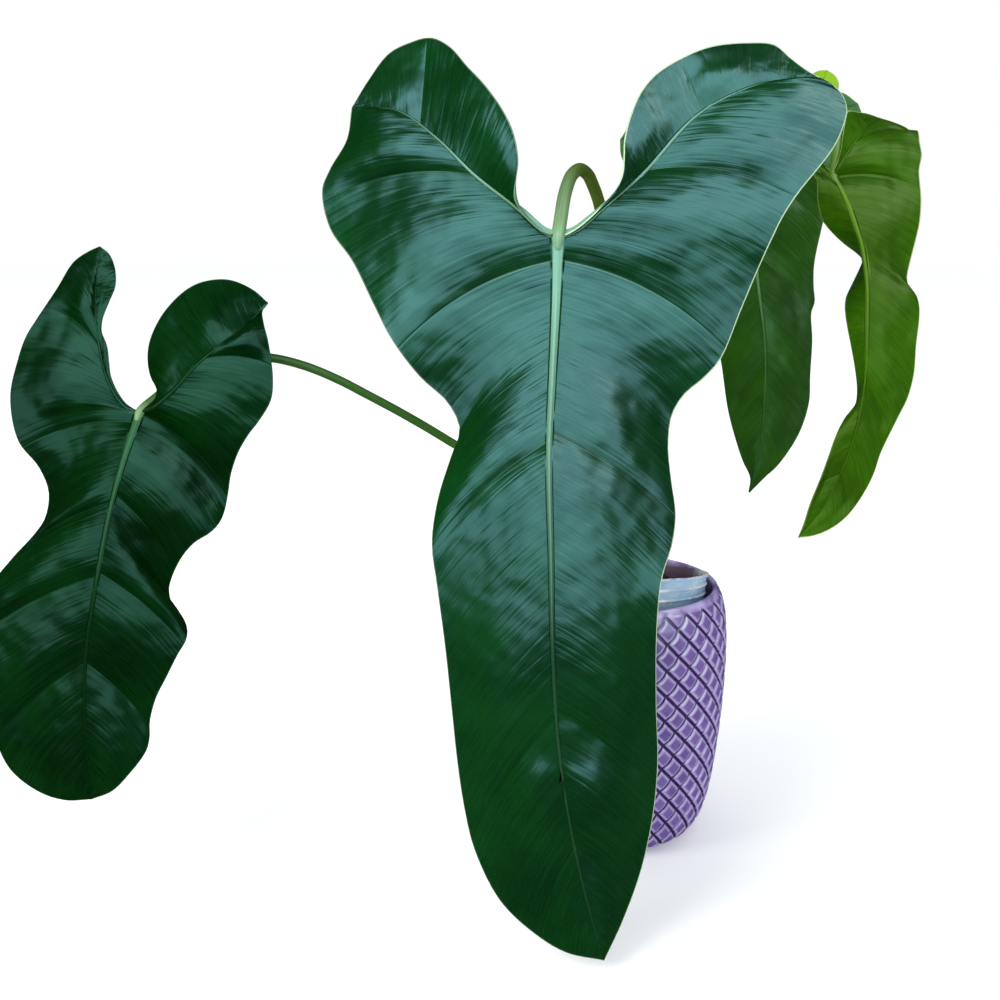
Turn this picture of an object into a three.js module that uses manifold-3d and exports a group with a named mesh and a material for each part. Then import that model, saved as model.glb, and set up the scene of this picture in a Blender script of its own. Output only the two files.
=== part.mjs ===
// Potted Philodendron mexicanum: a glazed planter with a raised diamond net, a clear nursery pot that
// stands in it, potting mix, a short climbing stem, and four arrow-shaped leaves on long petioles.
// Millimetres, +Z up. The origin is the middle of the planter's foot, and -Y is the front.
import * as THREE from 'three';
import { mergeVertices } from 'three/addons/utils/BufferGeometryUtils.js';
import Module from 'manifold-3d';

const wasm = await Module();
wasm.setup();

// Driving dimensions
const CLEARANCE = 0.3; // between pieces that meet

const PLANTER_HEIGHT = 165;
const PLANTER_FLOOR = 7;
const PLANTER_WALL = 4.5;
const RIM_RADIUS = 57;
const RIM_WALL = 3.2;
const RIM_ROUNDING = 1.2;
const INSIDE_HEIGHTS = [145, 100, 50, 18]; // where the planter's inside turns
// Outside of the planter from the foot to the rim, as [radius, height].
const PLANTER_PROFILE = [
  [38, 0], [43, 2.4], [48.5, 7.5], [53, 16], [56.6, 30], [59.2, 48], [61.3, 70],
  [62.6, 92], [63.2, 115], [62.9, 132], [61.7, 147], [59.4, 157], [RIM_RADIUS, 163],
];
const NET_CELLS_AROUND = 26;
const NET_ROWS = 20; // half cells from the foot to the rim
const NET_BOTTOM = 2;
const NET_TOP = 161.4;
const NET_TURN = THREE.MathUtils.degToRad(-4.1);
const CELL_RISE = 1.5;
const CELL_FACE = 0.62; // share of a cell that is its flat face

const NURSERY_RISE = 18; // above the planter's rim, at the front
const NURSERY_BACK_DROP = 23; // by which its rim is lower at the back
const NURSERY_LEAN_FROM = 110; // height above which its wall leans back
const NURSERY_WALL = 1.1;
const NURSERY_RIM_RADIUS = 51;
const NURSERY_FOOT_RADIUS = 36.5;
const NURSERY_SIDES = 30;
const NURSERY_RINGS = [15, 8.5]; // raised rings, measured down from its top
const NURSERY_RING_RISE = 0.9;
const DRAIN_HOLE_RADIUS = 4;
const DRAIN_HOLES = 4;
const DRAIN_CIRCLE = 20;

const MIX_LEVEL = 156;
const MIX_LUMP = 1.6;
const MIX_SIDES = 30;
const MIX_RINGS = [0.84, 0.64, 0.42, 0.2]; // of the way from the stem's hole to the pot's wall

const STEM_FOOT = 118;
const STEM_TOP = 262;
const STEM_RADIUS = 8;
const STEM_TAPER = 1.6;
const STEM_SIDES = 12;
const NODE_RISE = 0.9; // swelling under each petiole
const NODE_WIDTH = 2.5;
const NODE_DROP = 7; // below the foot of its petiole
const SHOOT_LENGTH = 46;
const SHOOT_RADIUS = 3.6;

const BLADE_THICKNESS = 0.9;
const RIB_FRONT = 0.25; // share of a rib's thickness that stands on the front of the blade
const LOBE_CURL = 0.09; // bow of the side veins, as a share of their length
const BLADE_CURL = 0.05;
const LOBE_PAIRING = 1.6; // how the ends of the side veins crowd along the edge
const BLADE_PAIRING = 1.26;
const STATION_CROWDING = 1.2;
const INNER_BILLOW = 0.7; // billow of the lobe along the sinus, against that of the rest
const BULGE = 1.3; // gentleness of the swell next to the ribs and the edge
const FULL_SWELL = 60; // length of a row, in frame pixels, from which its swell is full
const PANEL_SKEW = 2.2; // how near its lower side vein a panel stands highest
const PETIOLE_SIDES = 8;
const PETIOLE_STEPS = 22;
const SHEATH_LENGTH = 22; // over which a petiole narrows from its foot
const NECK_LENGTH = 60; // over which it narrows to its joint

// Viewpoint. The leaves are drawn as they are seen from the front, in a square frame of 1000 units, and
// their distance from the eye carries them to their real place and size. EYE and distances are in
// millimetres.
const EYE = new THREE.Vector3(-79, -640, 379);
const LOOK_DOWN = THREE.MathUtils.degToRad(14.2);
const FOCAL_LENGTH = 1072;
const FRAME_MIDDLE = 500;
const FORWARD = new THREE.Vector3(0, Math.cos(LOOK_DOWN), -Math.sin(LOOK_DOWN));
const UPWARD = new THREE.Vector3(0, Math.sin(LOOK_DOWN), Math.cos(LOOK_DOWN));
const SIDEWAYS = new THREE.Vector3(1, 0, 0);

// Each leaf: counts of steps along a lobe and along the midrib, the distance from the eye to the joint of
// petiole and blade, and points [frame x, frame y, mm nearer than the joint]. A side has the rib of its
// back lobe, the lobe's inner edge along the sinus, and the outer edge from the lobe's end to the tip.
// turn is the share of the outer edge that the lobe takes. veins are the places of the main side veins:
// 0 is the lobe's end, 1 the joint and 2 the tip.
const LEAVES = {
  main: {
    steps: [10, 20], distance: 536, joint: [558, 238, 0], tip: [604, 960, -21],
    billow: 4.5, crown: 1.6, midribThickness: 5, lobeRibThickness: 3.4,
    midrib: [[556, 300, -3], [552, 380, 6], [549, 450, 17], [551, 560, 24], [553, 660, 23],
      [560, 760, 12], [575, 850, -2], [592, 920, -13]],
    left: {
      turn: 0.245, veins: [0, 0.58, 1.03, 1.28, 1.66, 1.84, 2], innerVeins: [0, 0.29, 1],
      end: [352, 108, -21],
      rib: [[545, 233, 1], [518, 209, 4], [475, 176, 3], [437, 139, -3], [399, 112, -11]],
      inner: [[549, 234, 3], [540, 230, 4], [530, 221.5, 6], [519, 209, 8], [514, 197, 11],
        [515.5, 180, 14], [518, 160, 17], [513, 132, 16], [502, 109, 12], [484, 84, 4],
        [467, 66, -3], [450, 47, -12], [431, 38, -18], [410, 43, -23], [389, 54, -25],
        [369, 80, -23]],
      outer: [[347, 140, -22], [330, 170, -22], [322.5, 190, -24], [330, 228, -22], [353, 262, -12],
        [374, 305, -4], [392, 340, 2], [420, 377, -4], [448, 403, -8], [460, 430, -9],
        [452, 455, -7], [438, 500, 0], [432, 545, 6], [437, 585, 5], [445, 645, 3],
        [452, 710, -4], [458, 765, -11], [465, 810, -18], [475, 850, -23], [500, 900, -27],
        [533, 932, -29], [566, 952, -26]],
    },
    right: {
      turn: 0.3, veins: [0, 0.65, 1.03, 1.265, 1.65, 1.84, 2], innerVeins: [0, 0.4, 1],
      end: [822, 79, -7],
      rib: [[575, 232, -1], [600, 211, 2], [623, 192, 0], [646, 171, -2], [696, 117, -5], [747, 89, -5],
        [790, 80, -6]],
      inner: [[567, 234, 2], [580, 226, 3], [596, 212, 3], [606, 202, 3], [617.5, 187.5, 5],
        [623, 172, 7], [624, 156, 8], [624.5, 140, 6], [630, 117, 3], [640, 93.5, -1],
        [655, 75, -6], [678, 60, -9], [710, 47, -12], [750, 43, -15], [774, 45, -13],
        [790, 58, -11], [806, 70, -8]],
      outer: [[834, 86, -7], [841, 93, -9], [847, 109, -8], [843, 128, -6], [833, 149, -5],
        [818, 169, -1], [800, 191, 2], [784, 215, 3], [772, 239, 2], [757, 272, -3], [741, 310, -6],
        [720, 360, -8], [703, 379, -10], [685, 394, -13], [672, 415, -17], [668, 445, -15],
        [671, 480, -10], [675.5, 515, -5], [672, 545, -1], [662, 578, 3], [657, 625, 3],
        [656, 700, -4], [657.5, 765, -13], [652, 820, -19], [640, 873, -24], [622, 922, -25]],
    },
  },
  left: {
    steps: [10, 20], distance: 590, joint: [140, 412, 0], tip: [92, 799, -11],
    billow: 3.5, crown: 1, midribThickness: 3.6, lobeRibThickness: 2.4,
    midrib: [[126, 452, 8], [111, 507, 10], [97, 579, 10], [86, 654, 5], [85, 720, 1]],
    left: {
      turn: 0.317, veins: [0, 0.55, 1.03, 1.24, 1.43, 1.65, 2], innerVeins: [0, 1],
      end: [100, 246.5, -16],
      rib: [[126, 408.5, 0], [115.5, 396, 1], [107, 379, 1], [102, 360, 0], [98, 340, -1],
        [95, 315, -4], [96, 280, -10]],
      inner: [[127.5, 404.5, 0], [118.5, 393, 1], [111, 376, 1], [109, 362, 1], [107, 346, 0],
        [101.5, 330, -3], [103, 318, -4], [109, 302, -6], [115.5, 285, -10], [114.5, 266, -14],
        [109, 254, -16]],
      outer: [[90, 251, -16], [74, 262, -12], [57, 289, -9], [37, 319, -6], [26, 337, -5],
        [18, 360, -3], [10.5, 397, -1], [18.5, 441, -1], [39, 467, -5], [49, 492, -8],
        [45.5, 518, -6], [35, 534, -1], [12, 559, 0], [-8, 585, 0], [-20, 620, 1], [-22, 660, -2],
        [-16, 705, -5], [-3, 744, -9], [12, 771, -11], [40, 792, -12], [66, 800, -12]],
    },
    right: {
      turn: 0.35, veins: [0, 0.5, 1.03, 1.22, 1.42, 1.65, 2], innerVeins: [0, 0.5, 1],
      end: [268, 303, -10],
      rib: [[152, 408, 4], [163, 400, 5], [178, 386, 6], [196, 366, 7], [220, 346, 5], [244, 328, -2]],
      inner: [[149, 405, 1], [155.5, 398, 1], [157, 388, 0], [151, 377, -3], [148, 362, -6],
        [149, 345, -8], [155, 328, -11], [166, 310, -13], [185, 291, -14], [203, 282, -15],
        [229, 280, -14], [253, 290, -13]],
      outer: [[262.5, 311, -10], [264, 325, -5], [268, 341, -3], [273, 378, -3], [271, 400, -4],
        [259, 421, -5], [249, 434, -5], [238.5, 452, -6], [231, 474, -10], [227, 500, -15],
        [221, 520, -12], [211, 532, -8], [194, 543, -6], [182, 557, -7], [172, 577, -13],
        [169, 591, -17], [172, 605, -18], [181, 615, -14], [187, 629, -9], [186, 640, -7],
        [178, 654, -6], [166, 678, -7], [156, 698, -10], [150, 721, -13], [149.5, 737, -14],
        [146, 751, -12], [130, 773, -10], [112, 791, -11]],
    },
  },
  rear: {
    steps: [7, 13], distance: 655, joint: [748, 167, 0], tip: [749, 493, -5],
    billow: 1.5, crown: 0.3, midribThickness: 3.4, lobeRibThickness: 2.2,
    midrib: [[752, 210, 4], [757, 273, 8], [765, 345, 9], [764.5, 400, 6], [760, 452, 0]],
    left: {
      turn: 0.3, veins: [0, 0.5, 1.03, 1.27, 1.6, 2], innerVeins: [0, 1],
      end: [620, 140, -12],
      rib: [[722, 152, 0], [690, 137, -2], [655, 131, -6]],
      inner: [[724, 147, 0], [700, 126, -3], [672, 109, -7], [642, 110, -10]],
      outer: [[622, 158, -12], [640, 182, -8], [668, 205, -4], [692, 238, -2], [706, 280, -2],
        [712, 320, -4], [721, 361, -7], [728, 409, -9], [734.5, 435, -9], [743, 461, -8],
        [750.5, 478, -6]],
    },
    right: {
      turn: 0.29, veins: [0, 0.5, 1.03, 1.27, 1.6, 2], innerVeins: [0, 1],
      end: [858, 104, -12],
      rib: [[772, 150, 0], [800, 131, -3], [832, 114, -8]],
      inner: [[770, 145, 0], [788, 119, -4], [812, 97, -8], [841, 92.5, -10]],
      outer: [[861.5, 114, -12], [864, 135, -10], [856, 165, -6], [840, 195, -3], [825, 217, -2],
        [820, 235, -1], [814, 265, -3], [813.5, 288, -5], [814.5, 302, -5], [811, 313, -3],
        [812, 340, -1], [810, 375, -1], [809, 401, -3], [802, 426, -4], [793, 444, -4],
        [777, 466, -5], [765, 477, -5]],
    },
  },
  young: {
    steps: [8, 19], distance: 598, joint: [833, 177, 0], tip: [798, 538, -12],
    billow: 1.5, crown: 0.3, midribThickness: 3.2, lobeRibThickness: 2,
    midrib: [[840, 189, 3], [848, 205, 3], [855, 224, 3], [861, 243, 4], [864.5, 262, 3],
      [867, 290, 3], [867, 332, 3], [866, 366, 3], [860, 414, 0], [847, 457, -5], [826, 502, -9]],
    left: {
      turn: 0.2, veins: [0, 0.5, 1.03, 1.22, 1.55, 1.8, 2], innerVeins: [0, 1],
      end: [827, 70.5, -13],
      rib: [[825, 166, 0], [816, 150, -3], [810, 128, -6], [814, 100, -9]],
      inner: [[830, 171, 0], [825, 165, 0], [820, 152, -2], [819, 135, -5], [824, 115, -8],
        [833, 100, -11], [838.5, 88, -12], [838, 81, -13], [834, 75, -13]],
      outer: [[819, 71, -13], [808, 77, -12], [796, 92, -10], [790, 112, -8], [791, 135, -5],
        [799, 157, -3], [810, 171, 0], [816.5, 180, 1], [817, 192, 0],
        [818, 204, -3], [822.5, 220, -7], [832, 232, -12], [845, 244, -20], [857, 253, -26],
        [863, 259, -28], [861, 266, -26], [856, 277, -21], [850.5, 288, -15], [846, 298, -9],
        [845, 308, -6], [847, 325, -4], [852, 350, -6], [856, 373, -9], [857.5, 392, -12],
        [855, 407, -10], [846, 417, -5], [836, 435, -3], [828.5, 456, -4], [820.5, 478, -5],
        [810, 504, -7], [803, 526, -10]],
    },
    right: {
      turn: 0.2, veins: [0, 0.5, 1, 1.23, 1.55, 1.8, 2], innerVeins: [0, 1],
      end: [880, 118.5, -18],
      rib: [[837, 170, 3], [845, 157, 3], [856, 141, 1], [868, 128, -6]],
      inner: [[834.5, 170, 2], [838, 160, 2], [841.5, 147, -1], [843, 134, -4], [845, 122, -9],
        [848, 111.5, -13], [855, 112, -15], [867, 114, -17]],
      outer: [[893, 122.5, -19], [905, 127.5, -19], [914, 133, -18], [917.5, 131, -17],
        [919.5, 143, -13], [921.5, 155, -11], [919, 171, -10], [920, 186, -9], [921, 200, -8],
        [919.5, 222, -9], [916, 238, -9], [912.5, 252, -10], [909, 266, -12], [907, 275, -13],
        [907, 283, -12], [912, 290, -10], [916.5, 296.5, -9], [919, 306, -8], [919, 320, -8],
        [916, 345, -9], [913.5, 375, -10], [907, 399, -10], [898.5, 416, -10], [889, 435, -10],
        [880, 454, -12], [872.5, 476, -12], [862.5, 495, -13], [847, 516, -12], [832, 528, -12],
        [813, 536, -11]],
    },
  },
};

// Each petiole: height of its foot on the stem and radii at foot and joint, in millimetres, then points
// [frame x, frame y, distance from the eye] from the stem to the joint.
const PETIOLES = {
  left: {
    foot: 190, footRadius: 4.6, radius: 2.5, jointRadius: 2.6,
    path: [[575, 517, 654], [520, 482, 648], [455, 444.5, 641], [426, 427, 637], [397, 410.5, 632],
      [367, 394.5, 627], [338, 379.5, 622], [305, 366, 617], [272, 358, 611], [240, 357, 606],
      [205, 366, 602], [177, 381, 599], [157, 397, 595]],
  },
  rear: {
    foot: 212, footRadius: 4.6, radius: 2.9, jointRadius: 2.6,
    path: [[640, 440, 668], [665, 340, 684], [700, 240, 692], [728, 170, 688], [741, 136, 675],
      [747, 138, 664]],
  },
  main: {
    foot: 232, footRadius: 5, radius: 3.45, jointRadius: 3.5,
    path: [[620, 400, 646], [614, 330, 634], [606, 250, 622], [601, 212, 614], [598, 199, 610],
      [592, 183, 602], [588, 175, 594], [580, 169.5, 580], [572, 175, 566], [567.5, 185, 556],
      [563.8, 199, 548], [561, 217, 541]],
  },
  young: {
    foot: 252, footRadius: 4.4, radius: 2.8, jointRadius: 2.5,
    path: [[642, 395, 648], [690, 320, 642], [745, 235, 636], [785, 165, 632], [805, 125, 628],
      [819, 104, 622], [829, 98, 616], [835, 108, 610], [837, 130, 605], [836, 155, 601]],
  },
};

const COLOURS = {
  planter: 0x7a5ea0, nursery: 0xb6d0dc, mix: 0x3b2b22, stem: 0x5d7a34,
  mainPetiole: 0x6d9a4a, leftPetiole: 0x4e7a2c, rearPetiole: 0x5c8a32, youngPetiole: 0x86b52a,
  mainBlade: 0x0d4a2c, leftBlade: 0x083518, rearBlade: 0x1f5a1c, youngBlade: 0x3f7d0c,
};

// The real place of what is seen at (x, y) of the frame, at a distance along the view axis.
function seenAt(x, y, distance) {
  return EYE.clone()
    .addScaledVector(FORWARD, distance)
    .addScaledVector(SIDEWAYS, ((x - FRAME_MIDDLE) / FOCAL_LENGTH) * distance)
    .addScaledVector(UPWARD, ((FRAME_MIDDLE - y) / FOCAL_LENGTH) * distance);
}

function smoothLine(points) {
  return new THREE.CatmullRomCurve3(points.map((p) => new THREE.Vector3(...p)), false, 'centripetal');
}

// A closed surface with shared vertices, no collapsed triangles, and its faces pointing out.
function closed(geometry) {
  const bare = geometry.clone();
  bare.deleteAttribute('normal');
  bare.deleteAttribute('uv');
  const merged = mergeVertices(bare, 1e-4);
  const triangles = [];
  let volume = 0;
  const [a, b, c] = [new THREE.Vector3(), new THREE.Vector3(), new THREE.Vector3()];
  for (let i = 0; i < merged.index.count; i += 3) {
    const [p, q, r] = [0, 1, 2].map((k) => merged.index.getX(i + k));
    if (p === q || q === r || r === p) continue;
    triangles.push([p, q, r]);
    a.fromBufferAttribute(merged.attributes.position, p);
    b.fromBufferAttribute(merged.attributes.position, q);
    c.fromBufferAttribute(merged.attributes.position, r);
    volume += a.dot(b.cross(c));
  }
  merged.setIndex(triangles.map((t) => (volume < 0 ? t.reverse() : t)).flat());
  return merged;
}

function toSolid(geometry) {
  const shape = closed(geometry);
  return new wasm.Manifold(new wasm.Mesh({
    numProp: 3,
    vertProperties: new Float32Array(shape.attributes.position.array),
    triVerts: new Uint32Array(shape.index.array),
  }));
}

function toGeometry(solid) {
  const mesh = solid.getMesh();
  return new THREE.BufferGeometry()
    .setAttribute('position', new THREE.BufferAttribute(new Float32Array(mesh.vertProperties), 3))
    .setIndex(new THREE.BufferAttribute(new Uint32Array(mesh.triVerts), 1));
}

// A solid of revolution about Z from [radius, height] points.
function turned(profile, sides) {
  return new THREE.LatheGeometry(profile.map(([r, z]) => new THREE.Vector2(r, z)), sides)
    .rotateX(Math.PI / 2);
}

// A round rod that follows a curve, with its radius given along it and flat ends.
function rodAlong(curve, radiusAt, sides, steps) {
  const profile = [new THREE.Vector2(0, 0)];
  for (let i = 0; i <= steps; i++) profile.push(new THREE.Vector2(radiusAt(i / steps), i));
  profile.push(new THREE.Vector2(0, steps));
  const rod = new THREE.LatheGeometry(profile, sides);
  const frames = curve.computeFrenetFrames(steps);
  const centres = curve.getSpacedPoints(steps);
  const place = rod.attributes.position;
  for (let i = 0; i < place.count; i++) {
    const step = Math.round(place.getY(i));
    const at = centres[step].clone()
      .addScaledVector(frames.normals[step], place.getX(i))
      .addScaledVector(frames.binormals[step], place.getZ(i));
    place.setXYZ(i, at.x, at.y, at.z);
  }
  return closed(rod);
}

// Leaf blades

// The swell between two side veins: 0 on them, and 1 where it is highest, nearer the lower one.
function panelRise(s, veins) {
  const k = Math.max(0, veins.findIndex((v, i) => i > 0 && s <= v) - 1);
  const width = veins[k + 1] - veins[k];
  const share = ((s - veins[k]) / width) ** PANEL_SKEW;
  return 4 * share * (1 - share) * Math.min(1, width / 0.3);
}

// The outer part of one half of a blade: s runs from the lobe's end past the joint to the tip, and t
// from the rib out to the edge. Side veins follow lines of equal s and curve towards the tip.
function outerPart(leaf, side, hand) {
  const rib = smoothLine([leaf.joint, ...side.rib, side.end]);
  const midrib = smoothLine([leaf.joint, ...leaf.midrib, leaf.tip]);
  const edge = smoothLine([side.end, ...side.outer, leaf.tip]);
  return (s, t) => {
    const inLobe = s < 1;
    const from = inLobe ? rib.getPointAt(1 - s) : midrib.getPointAt(s - 1);
    const along = inLobe
      ? side.turn * s ** LOBE_PAIRING
      : 1 - (1 - side.turn) * (2 - s) ** BLADE_PAIRING;
    const chord = edge.getPointAt(along).sub(from);
    const curl = THREE.MathUtils.lerp(LOBE_CURL, BLADE_CURL, THREE.MathUtils.clamp((s - 1) * 4, 0, 1))
      * 4 * t * (1 - t) * hand;
    const at = from.clone().addScaledVector(chord, t);
    at.x += curl * chord.y;
    at.y -= curl * chord.x;
    const rise = leaf.crown + leaf.billow * panelRise(s, side.veins);
    at.z += Math.sin(Math.PI * t) ** BULGE * rise * Math.min(1, chord.length() / FULL_SWELL);
    return at;
  };
}

// The inner part of a back lobe, between its rib and the sinus.
function innerPart(leaf, side) {
  const rib = smoothLine([leaf.joint, ...side.rib, side.end]);
  const edge = smoothLine([leaf.joint, ...side.inner, side.end]);
  return (s, t) => {
    const at = rib.getPointAt(1 - s).lerp(edge.getPointAt(1 - s), t);
    const rise = leaf.crown + INNER_BILLOW * leaf.billow * panelRise(s, side.innerVeins);
    at.z += Math.sin(Math.PI * t) ** BULGE * rise * Math.min(1, 4 * s * (1 - s));
    return at;
  };
}

// Stations along a half blade: even steps down the lobe to the joint, then down the midrib to the tip,
// closer together near the joint, where the edge runs faster than the midrib.
const lobeStations = (steps) => Array.from({ length: steps + 1 }, (_, i) => i / steps);
const midribStations = (steps) => Array.from(
  { length: steps }, (_, i) => 1 + ((i + 1) / steps) ** STATION_CROWDING,
);

const ACROSS_OUTER = [0, 0.045, 0.24, 0.5, 0.78, 1];
const ACROSS_INNER = [0, 0.1, 0.45, 1];

// The middle surface of a blade, with the extra thickness of its ribs at each vertex.
function bladeSkin(leaf) {
  const places = [];
  const ribs = [];
  const triangles = [];
  const addPart = (part, along, across, flip) => {
    const first = ribs.length;
    for (const s of along) {
      for (const t of across) {
        const p = part(s, t);
        places.push(...seenAt(p.x, p.y, leaf.distance - p.z).toArray());
        const full = s < 1 ? leaf.lobeRibThickness * s : leaf.midribThickness * (2 - s) ** 0.8;
        ribs.push(t === 0 ? full : 0);
      }
    }
    for (let i = 0; i + 1 < along.length; i++) {
      for (let j = 0; j + 1 < across.length; j++) {
        const a = first + i * across.length + j;
        const [b, c, d] = [a + across.length, a + across.length + 1, a + 1];
        triangles.push(...(flip ? [a, c, b, a, d, c] : [a, b, c, a, c, d]));
      }
    }
  };
  const [lobe, rest] = [lobeStations(leaf.steps[0]), midribStations(leaf.steps[1])];
  for (const [side, hand] of [[leaf.left, -1], [leaf.right, 1]]) {
    addPart(outerPart(leaf, side, hand), [...lobe, ...rest], ACROSS_OUTER, hand < 0);
    addPart(innerPart(leaf, side), lobe, ACROSS_INNER, hand > 0);
  }
  return { places, ribs, triangles };
}

// A blade: its middle surface thickened along its normals, more on the back than on the front at the ribs.
function blade(leaf) {
  const { places, ribs, triangles } = bladeSkin(leaf);
  const skin = new THREE.BufferGeometry()
    .setAttribute('position', new THREE.Float32BufferAttribute(places, 3))
    .setIndex(triangles);
  const merged = mergeVertices(skin, 0.05);
  const thickest = new Array(merged.attributes.position.count).fill(0);
  triangles.forEach((from, i) => {
    const to = merged.index.getX(i);
    thickest[to] = Math.max(thickest[to], ribs[from]);
  });
  const faces = [];
  for (let i = 0; i < merged.index.count; i += 3) {
    const face = [0, 1, 2].map((k) => merged.index.getX(i + k));
    if (new Set(face).size === 3) faces.push(face);
  }
  merged.setIndex(faces.flat());
  merged.computeVertexNormals();

  const count = merged.attributes.position.count;
  const front = [];
  const back = [];
  for (let i = 0; i < count; i++) {
    const at = new THREE.Vector3().fromBufferAttribute(merged.attributes.position, i);
    const normal = new THREE.Vector3().fromBufferAttribute(merged.attributes.normal, i);
    const above = BLADE_THICKNESS / 2 + RIB_FRONT * thickest[i];
    const below = BLADE_THICKNESS / 2 + (1 - RIB_FRONT) * thickest[i];
    front.push(...at.clone().addScaledVector(normal, above).toArray());
    back.push(...at.clone().addScaledVector(normal, -below).toArray());
  }
  const index = [];
  const open = new Map();
  for (const [a, b, c] of faces) {
    index.push(a, b, c, count + c, count + b, count + a);
    for (const [p, q] of [[a, b], [b, c], [c, a]]) {
      if (!open.delete(q + ',' + p)) open.set(p + ',' + q, [p, q]);
    }
  }
  for (const [p, q] of open.values()) index.push(q, p, count + p, q, count + p, count + q);
  const solid = new THREE.BufferGeometry()
    .setAttribute('position', new THREE.Float32BufferAttribute([...front, ...back], 3));
  return solid.setIndex(index);
}

// Planter

// A skin made of rings of vertices round Z, with bands of triangles between them.
class RingSkin {
  constructor(steps, turn) {
    this.steps = steps;
    this.turn = turn;
    this.places = [];
    this.triangles = [];
  }

  vertex(radius, step, z) {
    const angle = (step * 2 * Math.PI) / this.steps + this.turn;
    this.places.push(radius * Math.cos(angle), radius * Math.sin(angle), z);
    return this.places.length / 3 - 1;
  }

  ring(radius, z) {
    return Array.from({ length: this.steps }, (_, i) => this.vertex(radius, i, z));
  }

  band(lower, upper) {
    for (let i = 0; i < this.steps; i++) {
      const n = (i + 1) % this.steps;
      this.triangles.push(lower[i], lower[n], upper[n], lower[i], upper[n], upper[i]);
    }
  }

  disc(edge, z, up) {
    const middle = this.vertex(0, 0, z);
    for (let i = 0; i < this.steps; i++) {
      const n = (i + 1) % this.steps;
      this.triangles.push(...(up ? [middle, edge[i], edge[n]] : [middle, edge[n], edge[i]]));
    }
  }

  geometry() {
    return new THREE.BufferGeometry()
      .setAttribute('position', new THREE.Float32BufferAttribute(this.places, 3))
      .setIndex(this.triangles);
  }
}

const planterOutline = new THREE.SplineCurve(PLANTER_PROFILE.map(([r, z]) => new THREE.Vector2(r, z)))
  .getPoints(400);
const planterRadius = (z) => (planterOutline.find((p) => p.y >= z) ?? planterOutline.at(-1)).x;
const netHeight = (j) => THREE.MathUtils.mapLinear(j, 0, NET_ROWS, NET_BOTTOM, NET_TOP);

// A cell of the net round node (i, j): a flat diamond raised over the grooves that cross at its corners.
function addCell(skin, net, i, j) {
  const around = (step) => (step + skin.steps) % skin.steps;
  const corners = [net[j][around(i - 1)], net[j - 1][i], net[j][around(i + 1)], net[j + 1][i]];
  const face = [[-1, 0], [0, -1], [1, 0], [0, 1]].map(([di, dj]) => {
    const z = netHeight(j + dj * CELL_FACE);
    return skin.vertex(planterRadius(z) + CELL_RISE / 2, i + di * CELL_FACE, z);
  });
  skin.triangles.push(face[0], face[1], face[2], face[0], face[2], face[3]);
  for (let k = 0; k < 4; k++) {
    const n = (k + 1) % 4;
    skin.triangles.push(corners[k], corners[n], face[n], corners[k], face[n], face[k]);
  }
}

// Half cells that close the net along its lowest and highest grooves.
function addHalfCell(skin, net, i, j) {
  const left = net[j][(i + skin.steps - 1) % skin.steps];
  const right = net[j][(i + 1) % skin.steps];
  const [middle, apex] = [net[j][i], j === 0 ? net[1][i] : net[j - 1][i]];
  if (j === 0) skin.triangles.push(left, middle, apex, middle, right, apex);
  else skin.triangles.push(left, apex, middle, middle, apex, right);
}

function planterShape() {
  const skin = new RingSkin(2 * NET_CELLS_AROUND, NET_TURN);
  const net = [];
  for (let j = 0; j <= NET_ROWS; j++) {
    net.push(skin.ring(planterRadius(netHeight(j)) - CELL_RISE / 2, netHeight(j)));
  }
  for (let j = 0; j <= NET_ROWS; j++) {
    for (let i = 0; i < skin.steps; i++) {
      if ((i + j) % 2 === 0) continue;
      if (j === 0 || j === NET_ROWS) addHalfCell(skin, net, i, j);
      else addCell(skin, net, i, j);
    }
  }

  const foot = skin.ring(PLANTER_PROFILE[0][0], 0);
  skin.disc(foot, 0, false);
  skin.band(foot, net[0]);
  const shoulder = PLANTER_HEIGHT - RIM_ROUNDING;
  const neck = NET_TOP + 1.2;
  const floorEdge = INSIDE_HEIGHTS.at(-1);
  const rings = [
    net[NET_ROWS],
    skin.ring(planterRadius(neck), neck),
    skin.ring(RIM_RADIUS, shoulder),
    skin.ring(RIM_RADIUS - RIM_WALL / 2, PLANTER_HEIGHT),
    skin.ring(RIM_RADIUS - RIM_WALL, shoulder),
    ...INSIDE_HEIGHTS.map((z) => skin.ring(planterRadius(z) - PLANTER_WALL, z)),
    skin.ring(planterRadius(floorEdge) - 2.5 * PLANTER_WALL, PLANTER_FLOOR),
  ];
  for (let k = 0; k + 1 < rings.length; k++) skin.band(rings[k], rings[k + 1]);
  skin.disc(rings.at(-1), PLANTER_FLOOR, true);
  return skin.geometry();
}

// Nursery pot: a tapered clear cup with a rolled rim, two raised rings under it and drain holes. It
// stands out of the planter at the front and right, and ends inside the planter's rim at the back.

const NURSERY_TOP = PLANTER_HEIGHT + NURSERY_RISE;
const nurseryRadius = (z) => THREE.MathUtils.mapLinear(
  z, PLANTER_FLOOR, NURSERY_TOP, NURSERY_FOOT_RADIUS, NURSERY_RIM_RADIUS - 1.2,
);

// Lowers the upper wall of the cup towards the back, so that its rim slopes down to the planter's.
function leanBack(cup) {
  const place = cup.attributes.position;
  for (let i = 0; i < place.count; i++) {
    const share = (place.getZ(i) - NURSERY_LEAN_FROM) / (NURSERY_TOP - NURSERY_LEAN_FROM);
    if (share <= 0) continue;
    const back = (place.getY(i) / NURSERY_RIM_RADIUS + 1) / 2;
    place.setZ(i, place.getZ(i) - NURSERY_BACK_DROP * share * back);
  }
  return cup;
}

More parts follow.
